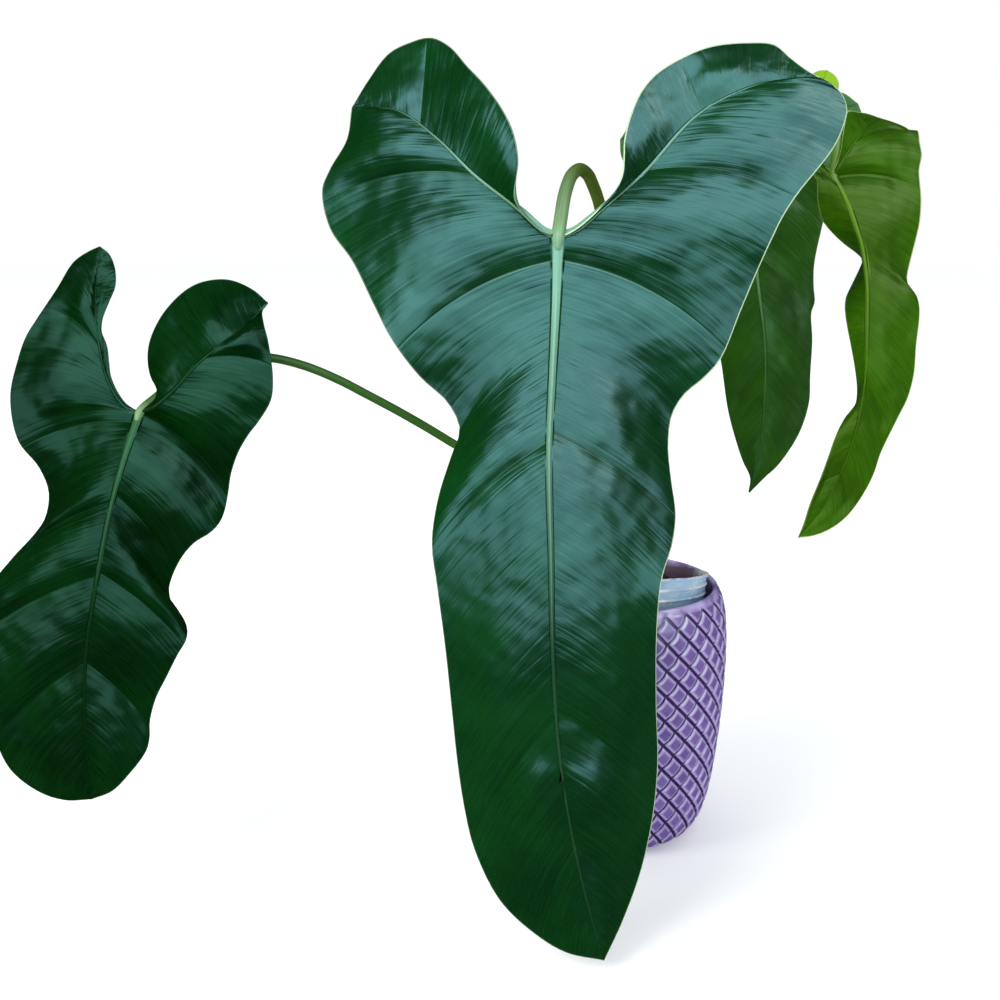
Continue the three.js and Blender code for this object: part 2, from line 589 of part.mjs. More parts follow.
function nurseryShape() {
  const raised = (z) => [[0, -1.4], [NURSERY_RING_RISE, -0.5], [NURSERY_RING_RISE, 0.5], [0, 1.4]]
    .map(([out, dz]) => [nurseryRadius(z + dz) + out, z + dz]);
  const inner = (z) => [nurseryRadius(z) - NURSERY_WALL, z];
  const profile = [
    [0, PLANTER_FLOOR], [nurseryRadius(PLANTER_FLOOR) - 1.5, PLANTER_FLOOR],
    [nurseryRadius(PLANTER_FLOOR + 2), PLANTER_FLOOR + 2],
    [nurseryRadius(NURSERY_LEAN_FROM), NURSERY_LEAN_FROM],
    ...NURSERY_RINGS.flatMap((down) => raised(NURSERY_TOP - down)),
    [nurseryRadius(NURSERY_TOP - 3), NURSERY_TOP - 3], [NURSERY_RIM_RADIUS, NURSERY_TOP - 2.6],
    [NURSERY_RIM_RADIUS, NURSERY_TOP - 0.4], [NURSERY_RIM_RADIUS - 0.6, NURSERY_TOP],
    inner(NURSERY_TOP), inner(NURSERY_LEAN_FROM), inner(PLANTER_FLOOR + NURSERY_WALL),
    [0, PLANTER_FLOOR + NURSERY_WALL],
  ];
  let pot = toSolid(leanBack(turned(profile, NURSERY_SIDES)));
  for (let k = 0; k < DRAIN_HOLES; k++) {
    const angle = ((k + 0.5) * 2 * Math.PI) / DRAIN_HOLES;
    const drill = new THREE.CylinderGeometry(DRAIN_HOLE_RADIUS, DRAIN_HOLE_RADIUS, 6, 10)
      .rotateX(Math.PI / 2)
      .translate(DRAIN_CIRCLE * Math.cos(angle), DRAIN_CIRCLE * Math.sin(angle), PLANTER_FLOOR);
    pot = pot.subtract(toSolid(drill));
  }
  return toGeometry(pot);
}

// Potting mix: fills the nursery pot, with a lumpy top and a plain hole for the stem.

function mixShape() {
  const floor = PLANTER_FLOOR + NURSERY_WALL + CLEARANCE;
  const wall = (z) => nurseryRadius(z) - NURSERY_WALL - CLEARANCE;
  const hole = STEM_RADIUS + CLEARANCE;
  const top = MIX_RINGS.map((share) => [THREE.MathUtils.lerp(hole, wall(MIX_LEVEL), share), MIX_LEVEL]);
  const profile = [
    [0, floor], [wall(floor), floor], [wall(90), 90], [wall(MIX_LEVEL) - 0.4, MIX_LEVEL - 0.5],
    ...top, [hole, MIX_LEVEL], [hole, STEM_FOOT], [0, STEM_FOOT],
  ];
  const mix = turned(profile, MIX_SIDES);
  const place = mix.attributes.position;
  for (let i = 0; i < place.count; i++) {
    const [x, y, z] = [place.getX(i), place.getY(i), place.getZ(i)];
    const radius = Math.hypot(x, y);
    if (Math.abs(z - MIX_LEVEL) > 0.1 || radius < hole + 1) continue;
    const lump = Math.sin(x * 0.53 + 1) * Math.cos(y * 0.47) + 0.6 * Math.sin(x * 0.21 - y * 0.83);
    place.setZ(i, z + MIX_LUMP * lump);
  }
  return mix;
}

// Stem: a short round stem with swollen nodes, and the pointed sheath of the next leaf at its top.

function stemShape() {
  const nodes = Object.values(PETIOLES).map((petiole) => petiole.foot - NODE_DROP);
  const swelling = (z, node) => NODE_RISE * Math.exp(-(((z - node) / NODE_WIDTH) ** 2));
  const radiusAt = (z) => nodes.reduce(
    (radius, node) => radius + swelling(z, node),
    STEM_RADIUS - STEM_TAPER * THREE.MathUtils.smoothstep(z, MIX_LEVEL, STEM_TOP),
  );
  const profile = [[0, STEM_FOOT], [STEM_RADIUS, STEM_FOOT], [STEM_RADIUS, MIX_LEVEL + 6]];
  for (let z = MIX_LEVEL + 10; z < STEM_TOP - 1; z += 4) profile.push([radiusAt(z), z]);
  profile.push([radiusAt(STEM_TOP), STEM_TOP - 2], [4, STEM_TOP], [0, STEM_TOP]);
  const tip = smoothLine([[2, 2, STEM_TOP - 14], [4, 3, STEM_TOP + 6], [3, 5, STEM_TOP + SHOOT_LENGTH]]);
  const taper = (share) => Math.max(0.5, SHOOT_RADIUS * Math.sin(Math.PI * (0.3 + 0.69 * share)));
  const shoot = rodAlong(tip, taper, STEM_SIDES, 8);
  return toSolid(turned(profile, STEM_SIDES)).add(toSolid(shoot));
}

// A solid a little larger than the given one, so that what it cuts stands clear of the piece itself.
function roomAround(solid) {
  const shifts = [[1, 0, 0], [-1, 0, 0], [0, 1, 0], [0, -1, 0], [0, 0, 1], [0, 0, -1]];
  const moved = shifts.map((shift) => solid.translate(shift.map((v) => v * CLEARANCE * 1.3)));
  return moved.reduce((sum, copy) => sum.add(copy), solid);
}

// Petiole: from inside the stem, cut clear of it, to the notch of its blade, where it narrows to fit.

function petioleShape(petiole, leaf, neighbours) {
  const [x, y] = leaf.joint;
  const foot = new THREE.Vector3(0, 0, petiole.foot - 6);
  const path = petiole.path.map((p) => seenAt(...p));
  const joint = seenAt(x, y, leaf.distance);
  const last = path[path.length - 1];
  const stop = joint.clone().sub(last).setLength(joint.distanceTo(last) - 0.8).add(last);
  const curve = new THREE.CatmullRomCurve3([foot, ...path, stop], false, 'centripetal');
  const length = curve.getLength();
  const radiusAt = (share) => {
    const fromFoot = share * length;
    const left = length - fromFoot;
    const sheath = (petiole.footRadius - petiole.radius) * Math.exp(-fromFoot / SHEATH_LENGTH);
    const neck = THREE.MathUtils.smoothstep(left, 0, NECK_LENGTH);
    const plain = THREE.MathUtils.lerp(petiole.jointRadius, petiole.radius, neck);
    return Math.min(plain + sheath, 1.6 + left);
  };
  const rod = toSolid(rodAlong(curve, radiusAt, PETIOLE_SIDES, PETIOLE_STEPS));
  const cut = neighbours.reduce((left, solid) => left.subtract(roomAround(solid)), rod);
  const parts = cut.decompose();
  return parts.sort((a, b) => b.volume() - a.volume())[0];
}

// Assembly

function piece(name, geometry, colour, roughness, extra = {}) {
  const material = new THREE.MeshStandardMaterial({ color: colour, roughness, metalness: 0, ...extra });
  const mesh = new THREE.Mesh(geometry, material);
  mesh.name = name;
  return mesh;
}

const plant = new THREE.Group();
plant.name = 'potted_philodendron';
plant.add(piece('planter', closed(planterShape()), COLOURS.planter, 0.2));
plant.add(piece('nursery_pot', nurseryShape(), COLOURS.nursery, 0.15, { transparent: true, opacity: 0.5 }));
plant.add(piece('potting_mix', closed(mixShape()), COLOURS.mix, 0.95));

const stem = stemShape();
plant.add(piece('stem', toGeometry(stem), COLOURS.stem, 0.55));

for (const [name, leaf] of Object.entries(LEAVES)) {
  const leafBlade = closed(blade(leaf));
  const petiole = petioleShape(PETIOLES[name], leaf, [stem, toSolid(leafBlade)]);
  plant.add(piece('petiole_' + name, toGeometry(petiole), COLOURS[name + 'Petiole'], 0.45));
  plant.add(piece('blade_' + name, leafBlade, COLOURS[name + 'Blade'], 0.28));
}

export default plant;
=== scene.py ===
"""Potted Philodendron mexicanum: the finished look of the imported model.

The planter, the nursery pot, the potting mix, the stem, the petioles and the leaf blades are modelled
finely over the frame's nodes, from the same dimensions, and get procedural materials. The frame is in
metres with +Z up and the front at -Y. Lengths below are in millimetres unless a name says otherwise.
"""
import bisect
import math
import random

import bmesh
import bpy
from bpy.props import FloatProperty, FloatVectorProperty, IntProperty, PointerProperty
from mathutils import Euler, Matrix, Vector, noise


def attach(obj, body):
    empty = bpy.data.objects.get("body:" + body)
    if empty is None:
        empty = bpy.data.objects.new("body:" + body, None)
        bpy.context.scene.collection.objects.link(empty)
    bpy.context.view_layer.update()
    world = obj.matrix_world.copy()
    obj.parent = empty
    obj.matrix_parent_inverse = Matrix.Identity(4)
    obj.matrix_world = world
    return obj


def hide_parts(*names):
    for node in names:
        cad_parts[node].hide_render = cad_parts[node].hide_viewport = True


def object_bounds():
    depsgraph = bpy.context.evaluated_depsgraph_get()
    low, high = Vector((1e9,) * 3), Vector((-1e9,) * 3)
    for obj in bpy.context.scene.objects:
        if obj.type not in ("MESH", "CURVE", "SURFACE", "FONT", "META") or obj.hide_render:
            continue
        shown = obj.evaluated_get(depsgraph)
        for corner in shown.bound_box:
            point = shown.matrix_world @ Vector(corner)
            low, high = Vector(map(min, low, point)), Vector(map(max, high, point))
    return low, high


bl_info = {
    "name": "Potted Philodendron mexicanum",
    "version": (1, 0, 0),
    "blender": (4, 5, 0),
    "location": "3D View > Sidebar > Philodendron",
    "description": "Builds a glazed planter with a climbing philodendron of four arrow-shaped leaves",
    "category": "Add Mesh",
}

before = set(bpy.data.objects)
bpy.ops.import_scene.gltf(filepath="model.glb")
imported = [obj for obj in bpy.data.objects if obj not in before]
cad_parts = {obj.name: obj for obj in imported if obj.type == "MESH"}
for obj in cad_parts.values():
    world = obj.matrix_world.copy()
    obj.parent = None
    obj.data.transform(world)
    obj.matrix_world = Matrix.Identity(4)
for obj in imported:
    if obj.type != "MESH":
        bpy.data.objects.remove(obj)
CAD_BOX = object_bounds()

MM = 0.001

# Planter, as in the frame
PLANTER_HEIGHT = 165
PLANTER_FLOOR = 7
PLANTER_WALL = 4.5
RIM_RADIUS = 57
RIM_WALL = 3.2
RIM_START = 162
RIM_MIDDLE = 163.4
RIM_HALF_HEIGHT = 1.6
INSIDE_HEIGHTS = [145, 100, 50, 18]
FOOT_EDGE_HEIGHT = 0.6
FOOT_PROFILE = [[0, 0], [20, 0], [36.5, 0], [38.2, 0.5]]
FLOOR_PROFILE = [[30, PLANTER_FLOOR], [12, PLANTER_FLOOR], [0, PLANTER_FLOOR]]
PLANTER_PROFILE = [
    [38, 0], [43, 2.4], [48.5, 7.5], [53, 16], [56.6, 30], [59.2, 48], [61.3, 70],
    [62.6, 92], [63.2, 115], [62.9, 132], [61.7, 147], [59.4, 157], [RIM_RADIUS, 163],
]
NET_CELLS_AROUND = 26
NET_ROWS = 20
NET_BOTTOM = 2
NET_TOP = 161.4
CELL_HEIGHT = (NET_TOP - NET_BOTTOM) / (NET_ROWS / 2)
NET_TURN = math.radians(-4.1)
STEPS_PER_CELL = 16
SCALLOP = 0.1
GROOVE_SHOULDERS = (0.015, 0.17)
GLAZE_DIP = 0.35
GLAZE_CLOUD = 0.35

# Nursery pot and potting mix
NURSERY_TOP = PLANTER_HEIGHT + 18
NURSERY_BACK_DROP = 23
NURSERY_LEAN_FROM = 110
NURSERY_WALL = 1.1
NURSERY_RIM_RADIUS = 51
NURSERY_FOOT_RADIUS = 36.5
NURSERY_RINGS = [15, 8.5]
NURSERY_RING_RISE = 0.9
NURSERY_RIM_ROLL = (0.9, 1.5)
NURSERY_WALL_LEVELS = [PLANTER_FLOOR + 2, 40, 80, NURSERY_LEAN_FROM, 125, 140, 150,
                       *[155 + k * 0.4 for k in range(63)]]
NURSERY_INSIDE_LEVELS = [NURSERY_TOP - 0.8, 176, 168, 160, 140, NURSERY_LEAN_FROM, 60, 20,
                         PLANTER_FLOOR + 2.5]
CUT_RAGGEDNESS = 1.1
DRAIN_HOLE_RADIUS = 4
DRAIN_HOLES = 4
DRAIN_CIRCLE = 20
MIX_LEVEL = 156

# Stem
STEM_FOOT = 118
STEM_TOP = 262
STEM_RADIUS = 8
STEM_TAPER = 1.6
NODE_RISE = 0.9
NODE_WIDTH = 2.5
NODE_DROP = 7
SHOOT_LENGTH = 46
SHOOT_RADIUS = 3.6

# Leaves
LOBE_CURL = 0.09
BLADE_CURL = 0.05
LOBE_PAIRING = 1.6
BLADE_PAIRING = 1.26
INNER_BILLOW = 0.7
BULGE = 1.3
FULL_SWELL_WIDTH = 60
PANEL_SKEW = 2.2
SHEATH_LENGTH = 22
NECK_LENGTH = 60
FOOT_DROP = 6
JOINT_OVERLAP = 6
JOINT_SINK = 1.2
STATION_STEP = 0.0125
ACROSS_RIB = [0, 0.3, 0.6, 0.85, 1, 1.25]
ACROSS_BLADE = 20
EDGE_HALF = 0.3
EDGE_BEAD = 0.5
VEIN_REACH = 40.0
EDGE_REACH = 9.0
WELD = 0.02
INNER_PART_FROM = 500
RIGHT_HALF_FROM = 1000

# Viewpoint from which the leaves are laid out, in a square frame of 1000 units
EYE = Vector((-79, -640, 379))
LOOK_DOWN = math.radians(14.2)
FOCAL_LENGTH = 1072
FRAME_SIDE = 1000
FORWARD = Vector((0, math.cos(LOOK_DOWN), -math.sin(LOOK_DOWN)))
UPWARD = Vector((0, math.sin(LOOK_DOWN), math.cos(LOOK_DOWN)))
SIDEWAYS = Vector((1, 0, 0))

# Each leaf: the distance from the eye to the joint of petiole and blade, and points [frame x, frame y,
# mm nearer than the joint]. A side has the rib of its back lobe, the lobe's inner edge along the sinus,
# and the outer edge from the lobe's end to the tip. turn is the share of the outer edge that the lobe
# takes. veins are the places of the main side veins: 0 is the lobe's end, 1 the joint and 2 the tip.
# swells are [frame x, frame y, reach in the frame, mm nearer]. rib_front is the share of a rib's thickness
# that stands on the front, and lobe_rib_tone how pale the ribs of the lobes are.
LEAVES = {
    "main": {
        "distance": 536, "joint": [558, 238, 0], "tip": [604, 960, -21],
        "billow": 4.5, "crown": 1.6, "midrib_thickness": 5, "lobe_rib_thickness": 3.4,
        "lobe_rib_tone": 0.8, "rib_front": 0.15,
        "swells": [[670, 595, 22, 5], [530, 788, 20, 5], [604, 792, 24, 5], [668, 322, 34, 2.6],
            [448, 334, 26, 2]],
        "midrib": [[556, 300, -3], [552, 380, 6], [549, 450, 17], [551, 560, 24], [553, 660, 23],
            [560, 760, 12], [575, 850, -2], [592, 920, -13]],
        "left": {
            "turn": 0.245, "veins": [0, 0.58, 1.03, 1.28, 1.66, 1.84, 2], "inner_veins": [0, 0.29, 1],
            "end": [352, 108, -21],
            "rib": [[545, 233, 1], [518, 209, 4], [475, 176, 3], [437, 139, -3], [399, 112, -11]],
            "inner": [[549, 234, 3], [540, 230, 4], [530, 221.5, 6], [519, 209, 8], [514, 197, 11],
                [515.5, 180, 14], [518, 160, 17], [513, 132, 16], [502, 109, 12], [484, 84, 4],
                [467, 66, -3], [450, 47, -12], [431, 38, -18], [410, 43, -23], [389, 54, -25],
                [369, 80, -23]],
            "outer": [[347, 140, -22], [330, 170, -22], [322.5, 190, -24], [330, 228, -22], [353, 262, -12],
                [374, 305, -4], [392, 340, 2], [420, 377, -4], [448, 403, -8], [460, 430, -9],
                [452, 455, -7], [438, 500, 0], [432, 545, 6], [437, 585, 5], [445, 645, 3],
                [452, 710, -4], [458, 765, -11], [465, 810, -18], [475, 850, -23], [500, 900, -27],
                [533, 932, -29], [566, 952, -26]],
        },
        "right": {
            "turn": 0.3, "veins": [0, 0.65, 1.03, 1.265, 1.65, 1.84, 2], "inner_veins": [0, 0.4, 1],
            "end": [822, 79, -7],
            "rib": [[575, 232, -1], [600, 211, 2], [623, 192, 0], [646, 171, -2], [696, 117, -5],
                [747, 89, -5], [790, 80, -6]],
            "inner": [[567, 234, 2], [580, 226, 3], [596, 212, 3], [606, 202, 3], [617.5, 187.5, 5],
                [623, 172, 7], [624, 156, 8], [624.5, 140, 6], [630, 117, 3], [640, 93.5, -1],
                [655, 75, -6], [678, 60, -9], [710, 47, -12], [750, 43, -15], [774, 45, -13],
                [790, 58, -11], [806, 70, -8]],
            "outer": [[834, 86, -7], [841, 93, -9], [847, 109, -8], [843, 128, -6], [833, 149, -5],
                [818, 169, -1], [800, 191, 2], [784, 215, 3], [772, 239, 2], [757, 272, -3], [741, 310, -6],
                [720, 360, -8], [703, 379, -10], [685, 394, -13], [672, 415, -17], [668, 445, -15],
                [671, 480, -10], [675.5, 515, -5], [672, 545, -1], [662, 578, 3], [657, 625, 3],
                [656, 700, -4], [657.5, 765, -13], [652, 820, -19], [640, 873, -24], [622, 922, -25]],
        },
    },
    "left": {
        "distance": 590, "joint": [140, 412, 0], "tip": [92, 799, -11],
        "billow": 3.5, "crown": 1, "midrib_thickness": 3.6, "lobe_rib_thickness": 2.4,
        "lobe_rib_tone": 0.15, "rib_front": 0.12, "swells": [[246, 328, 14, 0.8]],
        "midrib": [[126, 452, 8], [111, 507, 10], [97, 579, 10], [86, 654, 5], [85, 720, 1]],
        "left": {
            "turn": 0.317, "veins": [0, 0.55, 1.03, 1.24, 1.43, 1.65, 2], "inner_veins": [0, 1],
            "end": [100, 246.5, -16],
            "rib": [[126, 408.5, 0], [115.5, 396, 1], [107, 379, 1], [102, 360, 0], [98, 340, -1],
                [95, 315, -4], [96, 280, -10]],
            "inner": [[127.5, 404.5, 0], [118.5, 393, 1], [111, 376, 1], [109, 362, 1], [107, 346, 0],
                [101.5, 330, -3], [103, 318, -4], [109, 302, -6], [115.5, 285, -10], [114.5, 266, -14],
                [109, 254, -16]],
            "outer": [[90, 251, -16], [74, 262, -12], [57, 289, -9], [37, 319, -6], [26, 337, -5],
                [18, 360, -3], [10.5, 397, -1], [18.5, 441, -1], [39, 467, -5], [49, 492, -8],
                [45.5, 518, -6], [35, 534, -1], [12, 559, 0], [-8, 585, 0], [-20, 620, 1], [-22, 660, -2],
                [-16, 705, -5], [-3, 744, -9], [12, 771, -11], [40, 792, -12], [66, 800, -12]],
        },
        "right": {
            "turn": 0.35, "veins": [0, 0.5, 1.03, 1.22, 1.42, 1.65, 2], "inner_veins": [0, 0.5, 1],
            "end": [268, 303, -10],
            "rib": [[152, 408, 4], [163, 400, 5], [178, 386, 6], [196, 366, 7], [220, 346, 5],
                [244, 328, -2]],
            "inner": [[149, 405, 1], [155.5, 398, 1], [157, 388, 0], [151, 377, -3], [148, 362, -6],
                [149, 345, -8], [155, 328, -11], [166, 310, -13], [185, 291, -14], [203, 282, -15],
                [229, 280, -14], [253, 290, -13]],
            "outer": [[262.5, 311, -10], [264, 325, -5], [268, 341, -3], [273, 378, -3], [271, 400, -4],
                [259, 421, -5], [249, 434, -5], [238.5, 452, -6], [231, 474, -10], [227, 500, -15],
                [221, 520, -12], [211, 532, -8], [194, 543, -6], [182, 557, -7], [172, 577, -13],
                [169, 591, -17], [172, 605, -18], [181, 615, -14], [187, 629, -9], [186, 640, -7],
                [178, 654, -6], [166, 678, -7], [156, 698, -10], [150, 721, -13], [149.5, 737, -14],
                [146, 751, -12], [130, 773, -10], [112, 791, -11]],
        },
    },
    "rear": {
        "distance": 655, "joint": [748, 167, 0], "tip": [749, 493, -5],
        "billow": 1.5, "crown": 0.3, "midrib_thickness": 3.4, "lobe_rib_thickness": 2.2,
        "lobe_rib_tone": 0.3, "rib_front": 0.08, "swells": [[808, 256, 16, 2.4]],
        "midrib": [[752, 210, 4], [757, 273, 8], [765, 345, 9], [764.5, 400, 6], [760, 452, 0]],
        "left": {
            "turn": 0.3, "veins": [0, 0.5, 1.03, 1.27, 1.6, 2], "inner_veins": [0, 1],
            "end": [620, 140, -12],
            "rib": [[722, 152, 0], [690, 137, -2], [655, 131, -6]],
            "inner": [[724, 147, 0], [700, 126, -3], [672, 109, -7], [642, 110, -10]],
            "outer": [[622, 158, -12], [640, 182, -8], [668, 205, -4], [692, 238, -2], [706, 280, -2],
                [712, 320, -4], [721, 361, -7], [728, 409, -9], [734.5, 435, -9], [743, 461, -8],
                [750.5, 478, -6]],
        },
        "right": {
            "turn": 0.29, "veins": [0, 0.5, 1.03, 1.27, 1.6, 2], "inner_veins": [0, 1],
            "end": [858, 104, -12],
            "rib": [[772, 150, 0], [800, 131, -3], [832, 114, -8]],
            "inner": [[770, 145, 0], [788, 119, -4], [812, 97, -8], [841, 92.5, -10]],
            "outer": [[861.5, 114, -12], [864, 135, -10], [856, 165, -6], [840, 195, -3], [825, 217, -2],
                [820, 235, -1], [814, 265, -3], [813.5, 288, -5], [814.5, 302, -5], [811, 313, -3],
                [812, 340, -1], [810, 375, -1], [809, 401, -3], [802, 426, -4], [793, 444, -4],
                [777, 466, -5], [765, 477, -5]],
        },
    },
    "young": {
        "distance": 598, "joint": [833, 177, 0], "tip": [798, 538, -12],
        "billow": 1.5, "crown": 0.3, "midrib_thickness": 3.2, "lobe_rib_thickness": 2,
        "lobe_rib_tone": 0.1, "rib_front": 0.06, "swells": [[890, 225, 17, 3], [912, 290, 18, 5]],
        "midrib": [[840, 189, 3], [848, 205, 3], [855, 224, 3], [861, 243, 4], [864.5, 262, 3],
            [867, 290, 3], [867, 332, 3], [866, 366, 3], [860, 414, 0], [847, 457, -5], [826, 502, -9]],
        "left": {
            "turn": 0.2, "veins": [0, 0.5, 1.03, 1.22, 1.55, 1.8, 2], "inner_veins": [0, 1],
            "end": [827, 70.5, -13],
            "rib": [[825, 166, 0], [816, 150, -3], [810, 128, -6], [814, 100, -9]],
            "inner": [[830, 171, 0], [825, 165, 0], [820, 152, -2], [819, 135, -5], [824, 115, -8],
                [833, 100, -11], [838.5, 88, -12], [838, 81, -13], [834, 75, -13]],
            "outer": [[819, 71, -13], [808, 77, -12], [796, 92, -10], [790, 112, -8], [791, 135, -5],
                [799, 157, -3], [810, 171, 0], [816.5, 180, 1], [817, 192, 0],
                [818, 204, -3], [822.5, 220, -7], [832, 232, -12], [845, 244, -20], [857, 253, -26],
                [863, 259, -28], [861, 266, -26], [856, 277, -21], [850.5, 288, -15], [846, 298, -9],
                [845, 308, -6], [847, 325, -4], [852, 350, -6], [856, 373, -9], [857.5, 392, -12],
                [855, 407, -10], [846, 417, -5], [836, 435, -3], [828.5, 456, -4], [820.5, 478, -5],
                [810, 504, -7], [803, 526, -10]],
        },
        "right": {
            "turn": 0.2, "veins": [0, 0.5, 1, 1.23, 1.55, 1.8, 2], "inner_veins": [0, 1],
            "end": [880, 118.5, -18],
            "rib": [[837, 170, 3], [845, 157, 3], [856, 141, 1], [868, 128, -6]],
            "inner": [[834.5, 170, 2], [838, 160, 2], [841.5, 147, -1], [843, 134, -4], [845, 122, -9],
                [848, 111.5, -13], [855, 112, -15], [867, 114, -17]],
            "outer": [[893, 122.5, -19], [905, 127.5, -19], [914, 133, -18], [917.5, 131, -17],
                [919.5, 143, -13], [921.5, 155, -11], [919, 171, -10], [920, 186, -9], [921, 200, -8],
                [919.5, 222, -9], [916, 238, -9], [912.5, 252, -10], [909, 266, -12], [907, 275, -13],
                [907, 283, -12], [912, 290, -10], [916.5, 296.5, -9], [919, 306, -8], [919, 320, -8],
                [916, 345, -9], [913.5, 375, -10], [907, 399, -10], [898.5, 416, -10], [889, 435, -10],
                [880, 454, -12], [872.5, 476, -12], [862.5, 495, -13], [847, 516, -12], [832, 528, -12],
                [813, 536, -11]],
        },
    },
}

# Each petiole: height of its foot on the stem and radii at foot and joint, then points [frame x, frame y,
# distance from the eye] from the stem to the joint.
PETIOLES = {
    "left": {
        "foot": 190, "foot_radius": 4.6, "radius": 2.5, "joint_radius": 2.6,
        "path": [[575, 517, 654], [520, 482, 648], [455, 444.5, 641], [426, 427, 637], [397, 410.5, 632],
            [367, 394.5, 627], [338, 379.5, 622], [305, 366, 617], [272, 358, 611], [240, 357, 606],
            [205, 366, 602], [177, 381, 599], [157, 397, 595]],
    },
    "rear": {
        "foot": 212, "foot_radius": 4.6, "radius": 2.9, "joint_radius": 2.6,
        "path": [[640, 440, 668], [665, 340, 684], [700, 240, 692], [728, 170, 688], [741, 136, 675],
            [747, 138, 664]],
    },
    "main": {
        "foot": 232, "foot_radius": 5, "radius": 3.45, "joint_radius": 3.5,
        "path": [[620, 400, 646], [614, 330, 634], [606, 250, 622], [601, 212, 614], [598, 199, 610],
            [592, 183, 602], [588, 175, 594], [580, 169.5, 580], [572, 175, 566], [567.5, 185, 556],
            [563.8, 199, 548], [561, 217, 541]],
    },
    "young": {
        "foot": 252, "foot_radius": 4.4, "radius": 2.8, "joint_radius": 2.5,
        "path": [[642, 395, 648], [690, 320, 642], [745, 235, 636], [785, 165, 632], [805, 125, 628],
            [819, 104, 622], [829, 98, 616], [835, 108, 610], [837, 130, 605], [836, 155, 601]],
    },
}

# Relief of a blade's skin in millimetres. A crease along each side vein fades by CREASE_FADE a millimetre.
STREAK_RELIEF = 0.3
QUILT_RELIEF = 1.3
FINE_RELIEF = 0.07
FOLD_RELIEF = 1.6
FOLD_WIDTH = 0.12
DIMPLE_RELIEF = 2.2
VEIN_GROOVE = 0.12
CREASE_DEPTH = 2.8
CREASE_FADE = 0.92

# Roughness, mirroring and relief of each leaf's skin, the share of painted glow at its lobe ends and the tint
# of its gloss
BLADE_GLOSS = {"main": 0.22, "left": 0.19, "rear": 0.3, "young": 0.27}
BLADE_MIRROR = {"main": 0.53, "left": 0.19, "rear": 0.22, "young": 0.15}
BLADE_RELIEF = {"main": 0.55, "left": 0.5, "rear": 0.4, "young": 0.3}
BLADE_LOBE_GLOW = {"main": 0, "left": 0, "rear": 0, "young": 0.8}
BLADE_SHEEN = {
    "main": (0.44, 0.86, 1.0), "left": (0.4, 1.0, 0.85), "rear": (0.6, 1.0, 0.7), "young": (0.85, 1.0, 0.3),
}

DROP_SEED = 5
CHIP_SEED = 11
FLOOR_RADIUS = 12
FLOOR_GLOW = 0.185


# Numbers and curves


def srgb(text):
    """Linear red, green and blue of a colour written as six hexadecimal digits."""
    shares = [int(text[k:k + 2], 16) / 255 for k in (0, 2, 4)]
    return tuple(c / 12.92 if c <= 0.04045 else ((c + 0.055) / 1.055) ** 2.4 for c in shares)


def lerp(low, high, share):
    return low + (high - low) * share


def smoothstep(value, low, high):
    share = min(1, max(0, (value - low) / (high - low)))
    return share * share * (3 - 2 * share)


def seen_at(x, y, distance):
    """The real place of what is seen at (x, y) of the frame, at a distance along the view axis."""
    across = (x - FRAME_SIDE / 2) / FOCAL_LENGTH * distance
    up = (FRAME_SIDE / 2 - y) / FOCAL_LENGTH * distance
    return EYE + FORWARD * distance + SIDEWAYS * across + UPWARD * up


class SmoothLine:
    """A centripetal Catmull-Rom curve through points, read by its share of the length."""

    DIVISIONS = 200

    def __init__(self, points):
        points = [Vector(p) for p in points]
        padded = [2 * points[0] - points[1], *points, 2 * points[-1] - points[-2]]
        self.pieces = [self.cubic(padded[k:k + 4]) for k in range(len(points) - 1)]
        places = [self.point(i / self.DIVISIONS) for i in range(self.DIVISIONS + 1)]
        self.lengths = [0.0]
        for a, b in zip(places, places[1:]):
            self.lengths.append(self.lengths[-1] + (b - a).length)

    @staticmethod
    def cubic(four):
        a, b, c, d = four
        before, here, after = [math.sqrt((q - p).length) for p, q in zip(four, four[1:])]
        leave = ((b - a) / before - (c - a) / (before + here) + (c - b) / here) * here
        arrive = ((c - b) / here - (d - b) / (here + after) + (d - c) / after) * here
        return b, leave, 3 * (c - b) - 2 * leave - arrive, 2 * (b - c) + leave + arrive

    def point(self, share):
        along = share * len(self.pieces)
        k = min(int(along), len(self.pieces) - 1)
        w = along - k
        c0, c1, c2, c3 = self.pieces[k]
        return c0 + (c1 + (c2 + c3 * w) * w) * w

    def at(self, share):
        target = share * self.lengths[-1]
        i = min(bisect.bisect_right(self.lengths, target), self.DIVISIONS) - 1
        part = (target - self.lengths[i]) / (self.lengths[i + 1] - self.lengths[i])
        return self.point((i + part) / self.DIVISIONS)

    @property
    def length(self):
        return self.lengths[-1]


# Pieces


def grid_skin(bm, along, around, place):
    """A grid of along x around faces, each vertex moved to place(i, j). Returns vertices by (i, j)."""
    made = bmesh.ops.create_grid(bm, x_segments=along, y_segments=around, size=1)["verts"]
    by_step = {}
    for vert in made:
        i = round((vert.co.x + 1) / 2 * along)
        j = round((vert.co.y + 1) / 2 * around)
        by_step[i, j] = vert
    for (i, j), vert in by_step.items():
        vert.co = place(i, j)
    return by_step


def map_corners(layer, by_step, value):
    """Writes value(i, j) into a UV layer at every face corner of a grid skin."""
    for step, vert in by_step.items():
        for loop in vert.link_loops:
            loop[layer].uv = value(*step)


